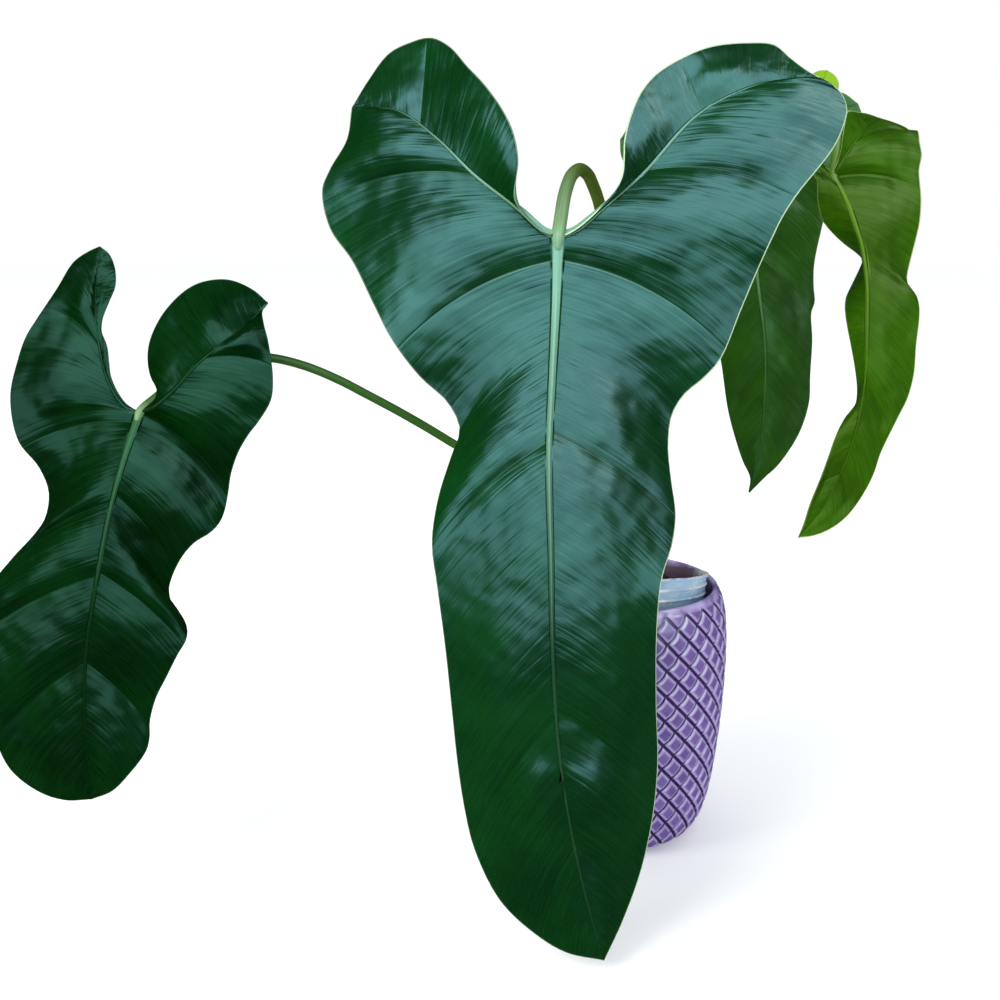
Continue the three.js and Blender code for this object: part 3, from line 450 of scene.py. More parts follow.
def spin_profile(bm, profile, steps, turn=0):
    """A surface of revolution about Z from [radius, height] points, closed at its poles."""
    spun = [bm.verts.new((r, 0, z)) for r, z in profile]
    edges = [bm.edges.new(pair) for pair in zip(spun, spun[1:])]
    bmesh.ops.rotate(bm, verts=spun, cent=(0, 0, 0), matrix=Matrix.Rotation(turn, 3, "Z"))
    bmesh.ops.spin(bm, geom=spun + edges, cent=(0, 0, 0), axis=(0, 0, 1), angle=math.tau, steps=steps,
                   use_merge=True)
    bmesh.ops.remove_doubles(bm, verts=bm.verts, dist=1e-4)
    bmesh.ops.dissolve_degenerate(bm, edges=bm.edges, dist=1e-5)
    bmesh.ops.recalc_face_normals(bm, faces=bm.faces)


def tube(bm, line, radius_at, steps, sides, layer):
    """A round tube along a curve, capped at its ends, with UVs [share of its length, share around]."""
    centres = [line.at(i / steps) for i in range(steps + 1)]
    normal = Vector((1, 0.3, 0.2))
    rings = []
    for i, centre in enumerate(centres):
        heading = (centres[min(i + 1, steps)] - centres[max(i - 1, 0)]).normalized()
        normal = (normal - heading * normal.dot(heading)).normalized()
        rings.append((centre, normal, heading.cross(normal), radius_at(i / steps)))

    def place(i, j):
        centre, across, beside, radius = rings[i]
        angle = math.tau * j / sides
        return centre + (across * math.cos(angle) + beside * math.sin(angle)) * radius

    by_step = grid_skin(bm, steps, sides, place)
    map_corners(layer, by_step, lambda i, j: (i / steps, j / sides))
    verts = list(by_step.values())
    bmesh.ops.remove_doubles(bm, verts=verts, dist=1e-3)
    open_edges = [e for e in bm.edges if e.is_boundary]
    bmesh.ops.holes_fill(bm, edges=open_edges, sides=0)
    bmesh.ops.recalc_face_normals(bm, faces=bm.faces)


def add_piece(name, bm, slot, material, *nodes):
    """Turns a bmesh in millimetres into a piece of the part, in metres, in place of CAD nodes."""
    bmesh.ops.scale(bm, vec=(MM, MM, MM), verts=bm.verts)
    for face in bm.faces:
        face.smooth = True
    mesh = bpy.data.meshes.new(name)
    bm.to_mesh(mesh)
    bm.free()
    piece = bpy.data.objects.new(name, mesh)
    bpy.context.scene.collection.objects.link(piece)
    mesh.materials.append(material)
    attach(piece, "root")
    if nodes:
        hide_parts(*nodes)
    return piece


def keep_in_box(bm):
    """Moves what would stand out of the frame's box, by a fraction of a millimetre, back onto it."""
    low, high = [corner / MM for corner in CAD_BOX]
    for vert in bm.verts:
        vert.co = [min(max(c, a), b) for c, a, b in zip(vert.co, low, high)]


# Shader nodes


class Nodes:
    """Adds nodes to a tree and links them by the names of their sockets."""

    def __init__(self, tree):
        self.tree = tree

    def put(self, socket, value):
        if isinstance(value, bpy.types.NodeSocket):
            self.tree.links.new(value, socket)
        else:
            socket.default_value = value

    def add(self, kind, inputs=None, **settings):
        node = self.tree.nodes.new("ShaderNode" + kind)
        for key, value in settings.items():
            setattr(node, key, value)
        for key, value in (inputs or {}).items():
            self.put(node.inputs[key], value)
        return node

    def math(self, operation, first, second=0.0, third=0.0, clamp=False):
        inputs = {0: first, 1: second, 2: third}
        return self.add("Math", inputs, operation=operation, use_clamp=clamp).outputs[0]

    def plus(self, first, second):
        return self.math("ADD", first, second)

    def minus(self, first, second):
        return self.math("SUBTRACT", first, second)

    def times(self, first, second, clamp=False):
        return self.math("MULTIPLY", first, second, clamp=clamp)

    def times_plus(self, first, second, third):
        return self.math("MULTIPLY_ADD", first, second, third)

    def mix(self, factor, a, b):
        return self.add("Mix", {0: factor, 6: a, 7: b}, data_type="RGBA").outputs[2]

    def step(self, value, low, high):
        """0 below low and 1 above high, or the other way round where low is the larger."""
        rising = float(low < high)
        inputs = {"Value": value, "From Min": min(low, high), "From Max": max(low, high),
                  "To Min": 1 - rising, "To Max": rising}
        return self.add("MapRange", inputs, interpolation_type="SMOOTHSTEP").outputs["Result"]

    def stretched(self, vector, by):
        return self.add("VectorMath", {0: vector, 1: by}, operation="MULTIPLY").outputs["Vector"]

    def noise(self, vector, scale=1.0, detail=2.0, roughness=0.5, distortion=0.0):
        inputs = {"Vector": vector, "Scale": scale, "Detail": detail, "Roughness": roughness,
                  "Distortion": distortion}
        return self.add("TexNoise", inputs).outputs["Fac"]

    def uv(self, name):
        return self.add("UVMap", uv_map=name).outputs["UV"]

    def carried(self, name):
        """A measure that the mesh carries at its vertices."""
        return self.add("Attribute", attribute_name=name).outputs["Fac"]

    def split(self, vector):
        return self.add("SeparateXYZ", {"Vector": vector}).outputs

    def object_place(self):
        return self.add("TexCoord").outputs["Object"]

    def group(self, tree, inputs):
        node = self.tree.nodes.new("ShaderNodeGroup")
        node.node_tree = tree
        for key, value in inputs.items():
            self.put(node.inputs[key], value)
        return node.outputs


def new_group(name, inputs, outputs):
    """An empty shader group with named sockets, and its nodes, input sockets and output node."""
    tree = bpy.data.node_groups.new(name, "ShaderNodeTree")
    for label, kind in inputs.items():
        tree.interface.new_socket(name=label, in_out="INPUT", socket_type="NodeSocket" + kind)
    for label, kind in outputs.items():
        tree.interface.new_socket(name=label, in_out="OUTPUT", socket_type="NodeSocket" + kind)
    given = tree.nodes.new("NodeGroupInput").outputs
    result = tree.nodes.new("NodeGroupOutput").inputs
    return tree, Nodes(tree), given, result


def new_material(name, **constants):
    """A material with one Principled BSDF. Returns it, its nodes, and the shader's inputs."""
    material = bpy.data.materials.new(name)
    material.use_nodes = True
    shader = material.node_tree.nodes["Principled BSDF"]
    for label, value in constants.items():
        shader.inputs[label.replace("_", " ")].default_value = value
    return material, Nodes(material.node_tree), shader.inputs


def finish_skin(nodes, shader, colour, rough, height=None):
    """Gives a shader its colour, its roughness and a normal from a height in millimetres."""
    nodes.put(shader["Base Color"], colour)
    nodes.put(shader["Roughness"], rough)
    if height is not None:
        relief = nodes.add("Bump", {"Height": height, "Distance": MM, "Strength": 1.0})
        nodes.put(shader["Normal"], relief.outputs["Normal"])


def rgba(colour):
    return (*colour, 1.0)


def blade_surface():
    """Group: the skin of a leaf blade, from its vein, rib and line maps."""
    tree = bpy.data.node_groups.get("blade surface")
    if tree:
        return tree
    tree, n, given, result = new_group(
        "blade surface",
        {"Dark": "Color", "Light": "Color", "Rib": "Color", "Margin": "Color", "Back": "Color",
         "Lobe Glow": "Color", "Lobe Glow Share": "Float", "Gloss": "Float", "Relief": "Float"},
        {"Color": "Color", "Roughness": "Float", "Height": "Float"},
    )
    veins, place = n.uv("veins"), n.object_place()
    along, across, _ = n.split(veins)
    from_rib, paleness, _ = n.split(n.uv("ribs"))
    from_vein, from_edge, _ = n.split(n.uv("lines"))
    back = n.carried("back")

    streak = n.noise(n.stretched(veins, (0.6, 1.3, 1)), detail=3.0, roughness=0.6)
    fine = n.noise(n.stretched(veins, (1.9, 2.0, 1)))
    quilt = n.noise(n.stretched(veins, (0.07, 1.6, 1)), distortion=0.4)
    fold = n.noise(n.stretched(veins, (0.17, 1.1, 1)), detail=1.0)
    fold = n.math("MINIMUM", n.math("ABSOLUTE", n.minus(fold, 0.5)), FOLD_WIDTH)
    tone = n.noise(place, scale=22.0, detail=3.0)
    dimple = n.noise(place, scale=55.0, detail=1.0)
    vein_line = n.step(from_vein, 0.75, 0.15)
    right_half = n.step(along, RIGHT_HALF_FROM - 60.0, RIGHT_HALF_FROM - 10.0)

    light = n.step(n.times_plus(streak, 0.45, n.times(tone, 0.55)), 0.36, 0.66)
    green = n.mix(light, given["Dark"], given["Light"])
    under = n.mix(n.times(streak, 0.5), given["Back"], given["Rib"])
    skin = n.mix(back, green, under)
    # Painted glow: a brighter green near the lobe ends of the left half, standing in for light shining
    # through the thin blade
    lobe_glow_mask = n.step(n.math("MODULO", along, float(INNER_PART_FROM)), 34.0, 4.0)
    lobe_glow_mask = n.times(lobe_glow_mask, given["Lobe Glow Share"])
    skin = n.mix(n.times(lobe_glow_mask, n.minus(1.0, right_half)), skin, given["Lobe Glow"])
    vein_tone = n.times(vein_line, n.times(n.step(across, 0.75, 0.05), paleness))
    skin = n.mix(n.times(vein_tone, 0.25), skin, given["Rib"])
    rib = n.times(n.step(from_rib, 1.15, 0.75), paleness)
    rib = n.times(rib, n.times_plus(fine, 0.35, 0.75), clamp=True)
    skin = n.mix(rib, skin, given["Rib"])
    # Painted highlight along the blade's edge, stronger on the right half than on the left
    edge_highlight = n.times(n.step(from_edge, 0.75, 0.35), n.times_plus(right_half, 0.7, 0.2))
    n.put(result["Color"], n.mix(edge_highlight, skin, given["Margin"]))

    rough = n.times_plus(back, 0.25, n.times_plus(fine, 0.12, given["Gloss"]))
    n.put(result["Roughness"], n.times_plus(rib, 0.15, rough))

    height = n.times_plus(streak, STREAK_RELIEF, n.times(quilt, QUILT_RELIEF))
    height = n.times_plus(fine, FINE_RELIEF, height)
    height = n.times_plus(fold, FOLD_RELIEF, height)
    height = n.times_plus(height, given["Relief"], n.times(dimple, DIMPLE_RELIEF))
    height = n.times_plus(vein_line, -VEIN_GROOVE, height)
    crease = n.times(n.math("POWER", CREASE_FADE, from_vein), n.step(across, 1.0, 0.6))
    height = n.times_plus(crease, -CREASE_DEPTH, height)
    n.put(result["Height"], n.times(height, n.step(from_rib, 1.0, 1.6)))
    return tree


def stalk_surface():
    """Group: the skin of a petiole or stem, streaked along its length, from its skin map."""
    tree = bpy.data.node_groups.get("stalk surface")
    if tree:
        return tree
    tree, n, given, result = new_group(
        "stalk surface",
        {"Foot": "Color", "Middle": "Color", "Joint": "Color", "End": "Color", "Streak": "Color",
         "Streaking": "Float"},
        {"Color": "Color", "Roughness": "Float", "Height": "Float"},
    )
    skin = n.uv("skin")
    share, _, _ = n.split(skin)
    streak = n.noise(n.stretched(skin, (5.0, 34.0, 1)), detail=3.0, roughness=0.65)
    fleck = n.noise(n.object_place(), scale=420.0, detail=2.0)
    colour = n.mix(n.step(share, 0.1, 0.45), given["Foot"], given["Middle"])
    colour = n.mix(n.step(share, 0.72, 0.93), colour, given["Joint"])
    colour = n.mix(n.step(share, 0.955, 0.995), colour, given["End"])
    dark = n.times(n.step(streak, 0.48, 0.66), given["Streaking"])
    colour = n.mix(dark, colour, given["Streak"])
    colour = n.mix(n.times(n.step(fleck, 0.62, 0.72), 0.25), colour, given["Joint"])
    n.put(result["Color"], colour)
    n.put(result["Roughness"], n.times_plus(streak, 0.2, 0.32))
    n.put(result["Height"], n.times_plus(fleck, 0.04, n.times(streak, -0.14)))
    return tree


def blade_material(name, dark, light, rib, edge_highlight, look):
    material, n, shader = new_material(name + "_blade_skin", Specular_IOR_Level=BLADE_MIRROR[name],
                                       Specular_Tint=rgba(BLADE_SHEEN[name]))
    out = n.group(blade_surface(), {
        "Dark": rgba(dark), "Light": rgba(light), "Rib": rgba(rib), "Margin": rgba(edge_highlight),
        "Back": rgba(look.back), "Lobe Glow": rgba(look.lobe_glow), "Lobe Glow Share": BLADE_LOBE_GLOW[name],
        "Gloss": BLADE_GLOSS[name], "Relief": BLADE_RELIEF[name],
    })
    finish_skin(n, shader, out["Color"], out["Roughness"], out["Height"])
    return material


def stalk_material(name, foot, middle, joint, end, streak, streaking):
    material, n, shader = new_material(name, Specular_IOR_Level=0.22)
    out = n.group(stalk_surface(), {
        "Foot": rgba(foot), "Middle": rgba(middle), "Joint": rgba(joint), "End": rgba(end),
        "Streak": rgba(streak), "Streaking": streaking,
    })
    finish_skin(n, shader, out["Color"], out["Roughness"], out["Height"])
    return material


def glaze_material(look):
    """Purple glaze that pools dark in the grooves of the net and breaks pale over the cells' edges."""
    material, n, shader = new_material("purple_glaze", Coat_Weight=0.5, Coat_Roughness=0.12)
    place, net = n.object_place(), n.uv("net")
    wobble = n.noise(place, scale=95.0, detail=3.0)
    around, up, _ = n.split(net)
    inside = n.carried("net_share")
    cloud = n.noise(place, scale=60.0, detail=4.0)
    cell_tone = n.noise(n.stretched(net, (1.1, 1.1, 1)), detail=1.0)

    def from_line(value):
        """Distance from the nearest whole number, with a little unevenness."""
        uneven = n.times_plus(wobble, 0.05, n.plus(value, -0.025))
        return n.math("PINGPONG", uneven, 0.5)

    falling = from_line(n.plus(around, up))
    bow = n.math("ABSOLUTE", n.math("SINE", n.times(n.plus(around, up), math.pi)))
    rising = from_line(n.minus(n.minus(around, up), n.times(bow, SCALLOP)))
    groove = n.math("MAXIMUM", n.step(falling, 0.12, 0.06), n.step(rising, 0.095, 0.04))
    groove = n.times(groove, inside)
    nearest = n.math("MINIMUM", falling, n.plus(rising, 0.015))
    edge = n.times(n.step(nearest, 0.3, 0.13), n.times_plus(cloud, 0.7, 0.45), clamp=True)
    plain = n.minus(1.0, inside)

    centre = n.mix(n.step(cell_tone, 0.35, 0.65), rgba(look.glaze_centre), rgba(look.glaze_deep))
    colour = n.mix(edge, centre, rgba(look.glaze_edge))
    band = n.mix(n.step(cloud, 0.35, 0.65), rgba(look.glaze_edge), rgba(look.glaze_centre))
    colour = n.mix(plain, colour, band)
    colour = n.mix(groove, colour, rgba(look.glaze_groove))
    # The inside wall's glaze is painted paler than its own colour, standing in for light in the shaded gap
    # between the pots
    hollow = n.carried("hollow")
    colour = n.mix(hollow, colour, rgba(look.glaze_inside_painted_light))
    height = n.times_plus(groove, -GLAZE_DIP, n.times(cloud, GLAZE_CLOUD))
    finish_skin(n, shader, colour, n.times_plus(cloud, 0.25, 0.16), height)
    return material


def clear_plastic_material(look):
    """Cloudy clear plastic with a film of condensation, and painted white highlights on its rim and rings."""
    material, n, shader = new_material(
        "clear_plastic", IOR=1.4, Transmission_Weight=0.25, Specular_IOR_Level=0.6)
    place = n.object_place()
    film = n.noise(place, scale=70.0, detail=3.0, roughness=0.5)
    runs = n.noise(n.stretched(place, (1, 1, 0.25)), scale=150.0, detail=3.0)
    crest = n.carried("crest")
    milky = n.mix(n.step(film, 0.3, 0.75), rgba(look.plastic_tint), rgba(look.plastic_film))
    inner = n.carried("inner")
    milky = n.mix(inner, milky, rgba(look.plastic_inside))
    # Painted highlights: white over the rim and the ring crests, broken up by the runs
    painted_glint = n.times(crest, n.step(runs, 0.38, 0.55))
    colour = n.mix(painted_glint, milky, (1, 1, 1, 1))
    finish_skin(n, shader, colour, n.times_plus(film, 0.2, 0.15), n.times(runs, 0.16))
    return material


def water_material():
    material, n, shader = new_material("water", IOR=1.33, Transmission_Weight=0.8, Specular_IOR_Level=0.7)
    haze = n.noise(n.object_place(), scale=700.0)
    colour = n.mix(haze, rgba(srgb("e8f3fb")), rgba(srgb("ffffff")))
    finish_skin(n, shader, colour, n.times(haze, 0.12))
    return material


def mix_material(look):
    """Damp potting mix: fine dark crumbs, darker in patches."""
    material, n, shader = new_material("damp_mix", Specular_IOR_Level=0.25)
    place = n.object_place()
    crumbs = n.noise(place, scale=260.0, detail=5.0, roughness=0.7)
    patches = n.noise(place, scale=45.0, detail=3.0)
    colour = n.mix(n.step(crumbs, 0.35, 0.68), rgba(look.mix_dark), rgba(look.mix_light))
    colour = n.mix(n.times(patches, 0.6), colour, rgba(look.mix_dark))
    finish_skin(n, shader, colour, n.times_plus(crumbs, 0.3, 0.6), n.times(crumbs, 1.2))
    return material


def bark_material(look):
    """Bark chips: brown with a grain along each chip's fibres."""
    material, n, shader = new_material("bark_chips", Specular_IOR_Level=0.3)
    place = n.object_place()
    grain = n.noise(n.stretched(place, (1, 1, 3)), scale=330.0, detail=4.0)
    tint = n.noise(place, scale=90.0, detail=1.0)
    colour = n.mix(n.step(grain, 0.4, 0.65), rgba(look.mix_dark), rgba(look.bark))
    colour = n.mix(n.step(tint, 0.42, 0.7), colour, rgba(look.mix_light))
    finish_skin(n, shader, colour, n.times_plus(grain, 0.25, 0.6), n.times(grain, 0.6))
    return material


# Planter


def spline_points(points, samples):
    """Points along a uniform Catmull-Rom spline in the plane."""
    result = []
    for i in range(samples + 1):
        along = i / samples * (len(points) - 1)
        k = min(int(along), len(points) - 2)
        w = along - k
        a = points[max(k - 1, 0)]
        b, c = points[k], points[k + 1]
        d = points[min(k + 2, len(points) - 1)]
        place = []
        for p, q, r, s in zip(a, b, c, d):
            leave, arrive = (r - p) / 2, (s - q) / 2
            place.append((2 * q - 2 * r + leave + arrive) * w ** 3
                         + (3 * r - 3 * q - 2 * leave - arrive) * w ** 2 + leave * w + q)
        result.append(place)
    return result


PLANTER_OUTLINE = spline_points(PLANTER_PROFILE, 400)


def planter_radius(z):
    k = bisect.bisect_left([p[1] for p in PLANTER_OUTLINE], z)
    k = min(max(k, 1), len(PLANTER_OUTLINE) - 1)
    (r0, z0), (r1, z1) = PLANTER_OUTLINE[k - 1], PLANTER_OUTLINE[k]
    return lerp(r0, r1, (z - z0) / (z1 - z0)) if z < z1 else r1


def net_place(angle, z):
    """Cells round the planter and cells up from the foot of the net."""
    return (angle - NET_TURN) / math.tau * NET_CELLS_AROUND, (z - NET_BOTTOM) / CELL_HEIGHT


def net_relief(around, up):
    """Height of the net: 0 in a groove and 1 on the face of a cell."""
    falling = abs(around + up - round(around + up))
    rising = around - up - SCALLOP * abs(math.sin(math.pi * (around + up)))
    rising = abs(rising - round(rising))
    return smoothstep(min(falling, rising * 1.1), *GROOVE_SHOULDERS)


def net_share(z):
    """1 where the net covers the wall, and 0 on the plain bands at foot and rim."""
    return smoothstep(z, 0.5, 3) * (1 - smoothstep(z, NET_TOP - 1.2, NET_TOP + 0.5))


def arc(radius, height, half_width, half_height, low, high, steps):
    """Points of a profile round part of an ellipse, between two angles."""
    angles = [low + (high - low) * k / steps for k in range(steps + 1)]
    return [[radius + half_width * math.cos(a), height + half_height * math.sin(a)] for a in angles]


def planter_mesh(relief):
    """A turned pot with a thin rounded rim, whose outer wall is raised to the net of cells."""
    row = CELL_HEIGHT / STEPS_PER_CELL
    levels = [NET_BOTTOM + k * row for k in range(-1, round((NET_TOP - NET_BOTTOM) / row) + 3)]
    outside = [[planter_radius(z), z] for z in levels if FOOT_EDGE_HEIGHT < z < RIM_START]
    rounding = arc(RIM_RADIUS - RIM_WALL / 2, RIM_MIDDLE, RIM_WALL / 2, RIM_HALF_HEIGHT, 0, math.pi, 12)
    inner_line = SmoothLine([
        [RIM_RADIUS - RIM_WALL, RIM_START, 0],
        *[[planter_radius(z) - PLANTER_WALL, z, 0] for z in INSIDE_HEIGHTS],
        [planter_radius(INSIDE_HEIGHTS[-1]) - 2.5 * PLANTER_WALL, PLANTER_FLOOR + 1, 0],
    ])
    inside = [list(inner_line.at(k / 26)[:2]) for k in range(27)]
    profile = [*FOOT_PROFILE, *outside, *rounding, *inside, *FLOOR_PROFILE]
    bm = bmesh.new()
    spin_profile(bm, profile, NET_CELLS_AROUND * STEPS_PER_CELL, NET_TURN)
    share_layer = bm.verts.layers.float.new("net_share")
    hollow_layer = bm.verts.layers.float.new("hollow")
    map_layer = bm.loops.layers.uv.new("net")
    for vert in bm.verts:
        x, y, z = vert.co
        radius = math.hypot(x, y)
        outer = radius > planter_radius(z) - PLANTER_WALL / 2 and z < RIM_START + 0.5
        vert[hollow_layer] = 0 if outer or z < PLANTER_FLOOR - 1 or z > RIM_START + 0.5 else 1
        if not outer or z < 0.1:
            continue
        share = net_share(z)
        lift = relief * (net_relief(*net_place(math.atan2(y, x), z)) - 0.5) * share
        vert[share_layer] = share
        vert.co.xy *= (radius + lift) / radius
    for face in bm.faces:
        middle = face.calc_center_median()
        centre = math.atan2(middle.y, middle.x)
        for loop in face.loops:
            x, y, z = loop.vert.co
            turn = math.atan2(y, x) - centre
            angle = centre + (turn + math.pi) % math.tau - math.pi
            loop[map_layer].uv = net_place(angle, z)
    return bm


# Nursery pot and potting mix


def nursery_radius(z):
    share = (z - PLANTER_FLOOR) / (NURSERY_TOP - PLANTER_FLOOR)
    return lerp(NURSERY_FOOT_RADIUS, NURSERY_RIM_RADIUS - 1.2, share)


def lean_back(bm):
    """Lowers what stands on the upper wall towards the back, where the rim is lower."""
    for vert in bm.verts:
        share = (vert.co.z - NURSERY_LEAN_FROM) / (NURSERY_TOP - NURSERY_LEAN_FROM)
        back = (vert.co.y / NURSERY_RIM_RADIUS + 1) / 2
        vert.co.z -= NURSERY_BACK_DROP * max(0, share) * back


def ring_share(z, width):
    """How much of a raised ring there is at a height: 1 on its crest."""
    return sum(math.exp(-((z - NURSERY_TOP + down) / width) ** 2) for down in NURSERY_RINGS)


def nursery_mesh():
    """A thin tapered cup with two rounded rings and a rolled rim, without its drain holes."""
    wall = [[nursery_radius(z) + NURSERY_RING_RISE * ring_share(z, 0.75), z] for z in NURSERY_WALL_LEVELS]
    wide, tall = NURSERY_RIM_ROLL
    rim = arc(NURSERY_RIM_RADIUS - wide, NURSERY_TOP - tall, wide, tall, -math.pi / 2, math.pi / 2, 10)
    inside = [[nursery_radius(z) - NURSERY_WALL, z] for z in NURSERY_INSIDE_LEVELS]
    foot = nursery_radius(PLANTER_FLOOR)
    profile = [[0, PLANTER_FLOOR], [foot - 1.5, PLANTER_FLOOR], *wall, *rim, *inside,
               [foot - 2.6, PLANTER_FLOOR + NURSERY_WALL], [0, PLANTER_FLOOR + NURSERY_WALL]]
    bm = bmesh.new()
    spin_profile(bm, profile, 120)
    crest = bm.verts.layers.float.new("crest")
    inner = bm.verts.layers.float.new("inner")
    for vert in bm.verts:
        x, y, z = vert.co
        outer = math.hypot(x, y) > nursery_radius(z) - NURSERY_WALL / 2
        behind = smoothstep(y, 0, 20)
        vert[inner] = max(0 if outer else 1 - smoothstep(z, NURSERY_TOP - 3, NURSERY_TOP), behind)
        # Where the painted white highlights go: the cut rim and the rings' crests, on the front half only
        painted_glint = max(smoothstep(z, NURSERY_TOP - 2.2, NURSERY_TOP - 0.6), ring_share(z, 0.9) if outer else 0)
        vert[crest] = painted_glint * (1 - behind)
        if z > NURSERY_TOP - 1:
            vert.co.z -= CUT_RAGGEDNESS * (0.5 + 0.5 * noise.noise(Vector((x, y, 0)) * 0.45))
    lean_back(bm)
    return bm


def drain_cutters():
    bm = bmesh.new()
    for k in range(DRAIN_HOLES):
        angle = (k + 0.5) * math.tau / DRAIN_HOLES
        place = Vector((math.cos(angle), math.sin(angle), 0)) * DRAIN_CIRCLE + Vector((0, 0, PLANTER_FLOOR))
        bmesh.ops.create_cone(bm, cap_ends=True, segments=24, radius1=DRAIN_HOLE_RADIUS,
                              radius2=DRAIN_HOLE_RADIUS, depth=6, matrix=Matrix.Translation(place))
    bmesh.ops.scale(bm, vec=(MM, MM, MM), verts=bm.verts)
    mesh = bpy.data.meshes.new("drain_cutters")
    bm.to_mesh(mesh)
    bm.free()
    cutter = bpy.data.objects.new("drain_cutters", mesh)
    bpy.context.scene.collection.objects.link(cutter)
    return cutter


def cut_from(piece, cutter):
    """Cuts one object out of another and keeps the result as the piece's own mesh."""
    modifier = piece.modifiers.new("cut", "BOOLEAN")
    modifier.object = cutter
    modifier.operation = "DIFFERENCE"
    modifier.solver = "EXACT"
    bpy.context.view_layer.update()
    graph = bpy.context.evaluated_depsgraph_get()
    result = bpy.data.meshes.new_from_object(piece.evaluated_get(graph))
    piece.modifiers.clear()
    piece.data = result
    bpy.data.objects.remove(cutter)


def droplets_mesh(count, seed):
    """Small flattened drops that stand on the outside of the clear pot above the planter's rim."""
    draw = random.Random(seed)
    bm = bmesh.new()
    for _ in range(count):
        angle = draw.uniform(0, math.tau)
        z = draw.uniform(PLANTER_HEIGHT + 1, NURSERY_TOP - 2.5)
        size = draw.uniform(0.25, 0.8)
        tall = size * draw.choice([1, 1, 1.3, 2.2])
        place = Vector((math.cos(angle), math.sin(angle), 0)) * (nursery_radius(z) + 0.05)
        place.z = z
        turn = Matrix.Rotation(angle, 4, "Z")
        shape = Matrix.Diagonal((size * 0.55, size, tall, 1))
        bmesh.ops.create_icosphere(bm, subdivisions=2, radius=1,
                                   matrix=Matrix.Translation(place) @ turn @ shape)
    lean_back(bm)
    return bm


def mix_top(x, y):
    """Height of the lumpy top of the mix."""
    lump = math.sin(x * 0.53 + 1) * math.cos(y * 0.47) + 0.6 * math.sin(x * 0.21 - y * 0.83)
    return MIX_LEVEL + 1.1 * lump + 0.9 * noise.noise(Vector((x, y, 0)) * 0.35)


def mix_mesh():
    floor = PLANTER_FLOOR + NURSERY_WALL + 0.3
    wall = [[nursery_radius(z) - NURSERY_WALL - 0.3, z] for z in (floor, 60, 110, 150, MIX_LEVEL)]
    outer = wall[-1][0]
    hole = STEM_RADIUS + 0.3
    top = [[lerp(outer, hole, k / 24), MIX_LEVEL] for k in range(1, 25)]
    profile = [[0, floor], *wall, *top, [hole, STEM_FOOT], [0, STEM_FOOT]]
    bm = bmesh.new()
    spin_profile(bm, profile, 110)
    for vert in bm.verts:
        if abs(vert.co.z - MIX_LEVEL) < 0.01:
            vert.co.z = mix_top(vert.co.x, vert.co.y)
    return bm


def chips_mesh(count, seed):
    """Bark chips, each a small roughened lump of a few dozen faces, that lie on the mix."""
    draw = random.Random(seed)
    noise.seed_set(seed)
    bm = bmesh.new()
    reach = nursery_radius(MIX_LEVEL) - NURSERY_WALL - 4.5
    for _ in range(count):
        angle = draw.uniform(0, math.tau)
        radius = math.sqrt(draw.uniform((STEM_RADIUS + 4) ** 2, reach ** 2))
        x, y = radius * math.cos(angle), radius * math.sin(angle)
        turn = Euler((draw.uniform(-0.5, 0.5), draw.uniform(-0.5, 0.5), draw.uniform(0, math.tau)))
        shape = Matrix.Diagonal((draw.uniform(1.8, 4.2), draw.uniform(1.2, 2.4), draw.uniform(0.6, 1.2), 1))
        place = Matrix.Translation((x, y, mix_top(x, y) + 0.3))
        made = bmesh.ops.create_icosphere(bm, subdivisions=2, radius=1,
                                          matrix=place @ turn.to_matrix().to_4x4() @ shape)
        for vert in made["verts"]:
            vert.co += noise.noise_vector(vert.co * 0.8) * 0.55
    return bm


# Stem and petioles


def stem_radius(z):
    radius = STEM_RADIUS - STEM_TAPER * smoothstep(z, MIX_LEVEL, STEM_TOP)
    for petiole in PETIOLES.values():
        drop = z - (petiole["foot"] - NODE_DROP)
        radius += NODE_RISE * math.exp(-(drop / NODE_WIDTH) ** 2)
    return radius


def stem_mesh():
    """A short stem with swollen nodes, and the pointed sheath of the next leaf at its top."""
    levels = [STEM_FOOT, 140, *range(MIX_LEVEL - 6, STEM_TOP - 1)]
    crown = [[stem_radius(STEM_TOP) - 0.5, STEM_TOP - 0.6], [5, STEM_TOP - 0.1], [2.5, STEM_TOP],
             [0, STEM_TOP]]
    bm = bmesh.new()
    spin_profile(bm, [[0, STEM_FOOT], *[[stem_radius(z), z] for z in levels], *crown], 40)
    layer = bm.loops.layers.uv.new("skin")
    for vert in bm.verts:
        if vert.co.z > MIX_LEVEL + 2:
            vert.co.xy *= 1 + 0.02 * noise.noise(vert.co * 0.12)
        for loop in vert.link_loops:
            angle = math.atan2(vert.co.y, vert.co.x)
            loop[layer].uv = ((vert.co.z - STEM_FOOT) / (STEM_TOP - STEM_FOOT) * 0.5, abs(angle) / math.pi)
    tip = SmoothLine([[2, 2, STEM_TOP - 14], [4, 3, STEM_TOP + 6], [3, 5, STEM_TOP + SHOOT_LENGTH]])
    shoot = bmesh.new()
    shoot_layer = shoot.loops.layers.uv.new("skin")
    tube(shoot, tip, lambda s: max(0.35, SHOOT_RADIUS * math.sin(math.pi * (0.3 + 0.69 * s))), 40, 24,
         shoot_layer)
    joined = bpy.data.meshes.new("shoot")
    shoot.to_mesh(joined)
    shoot.free()
    bm.from_mesh(joined)
    bpy.data.meshes.remove(joined)
    return bm


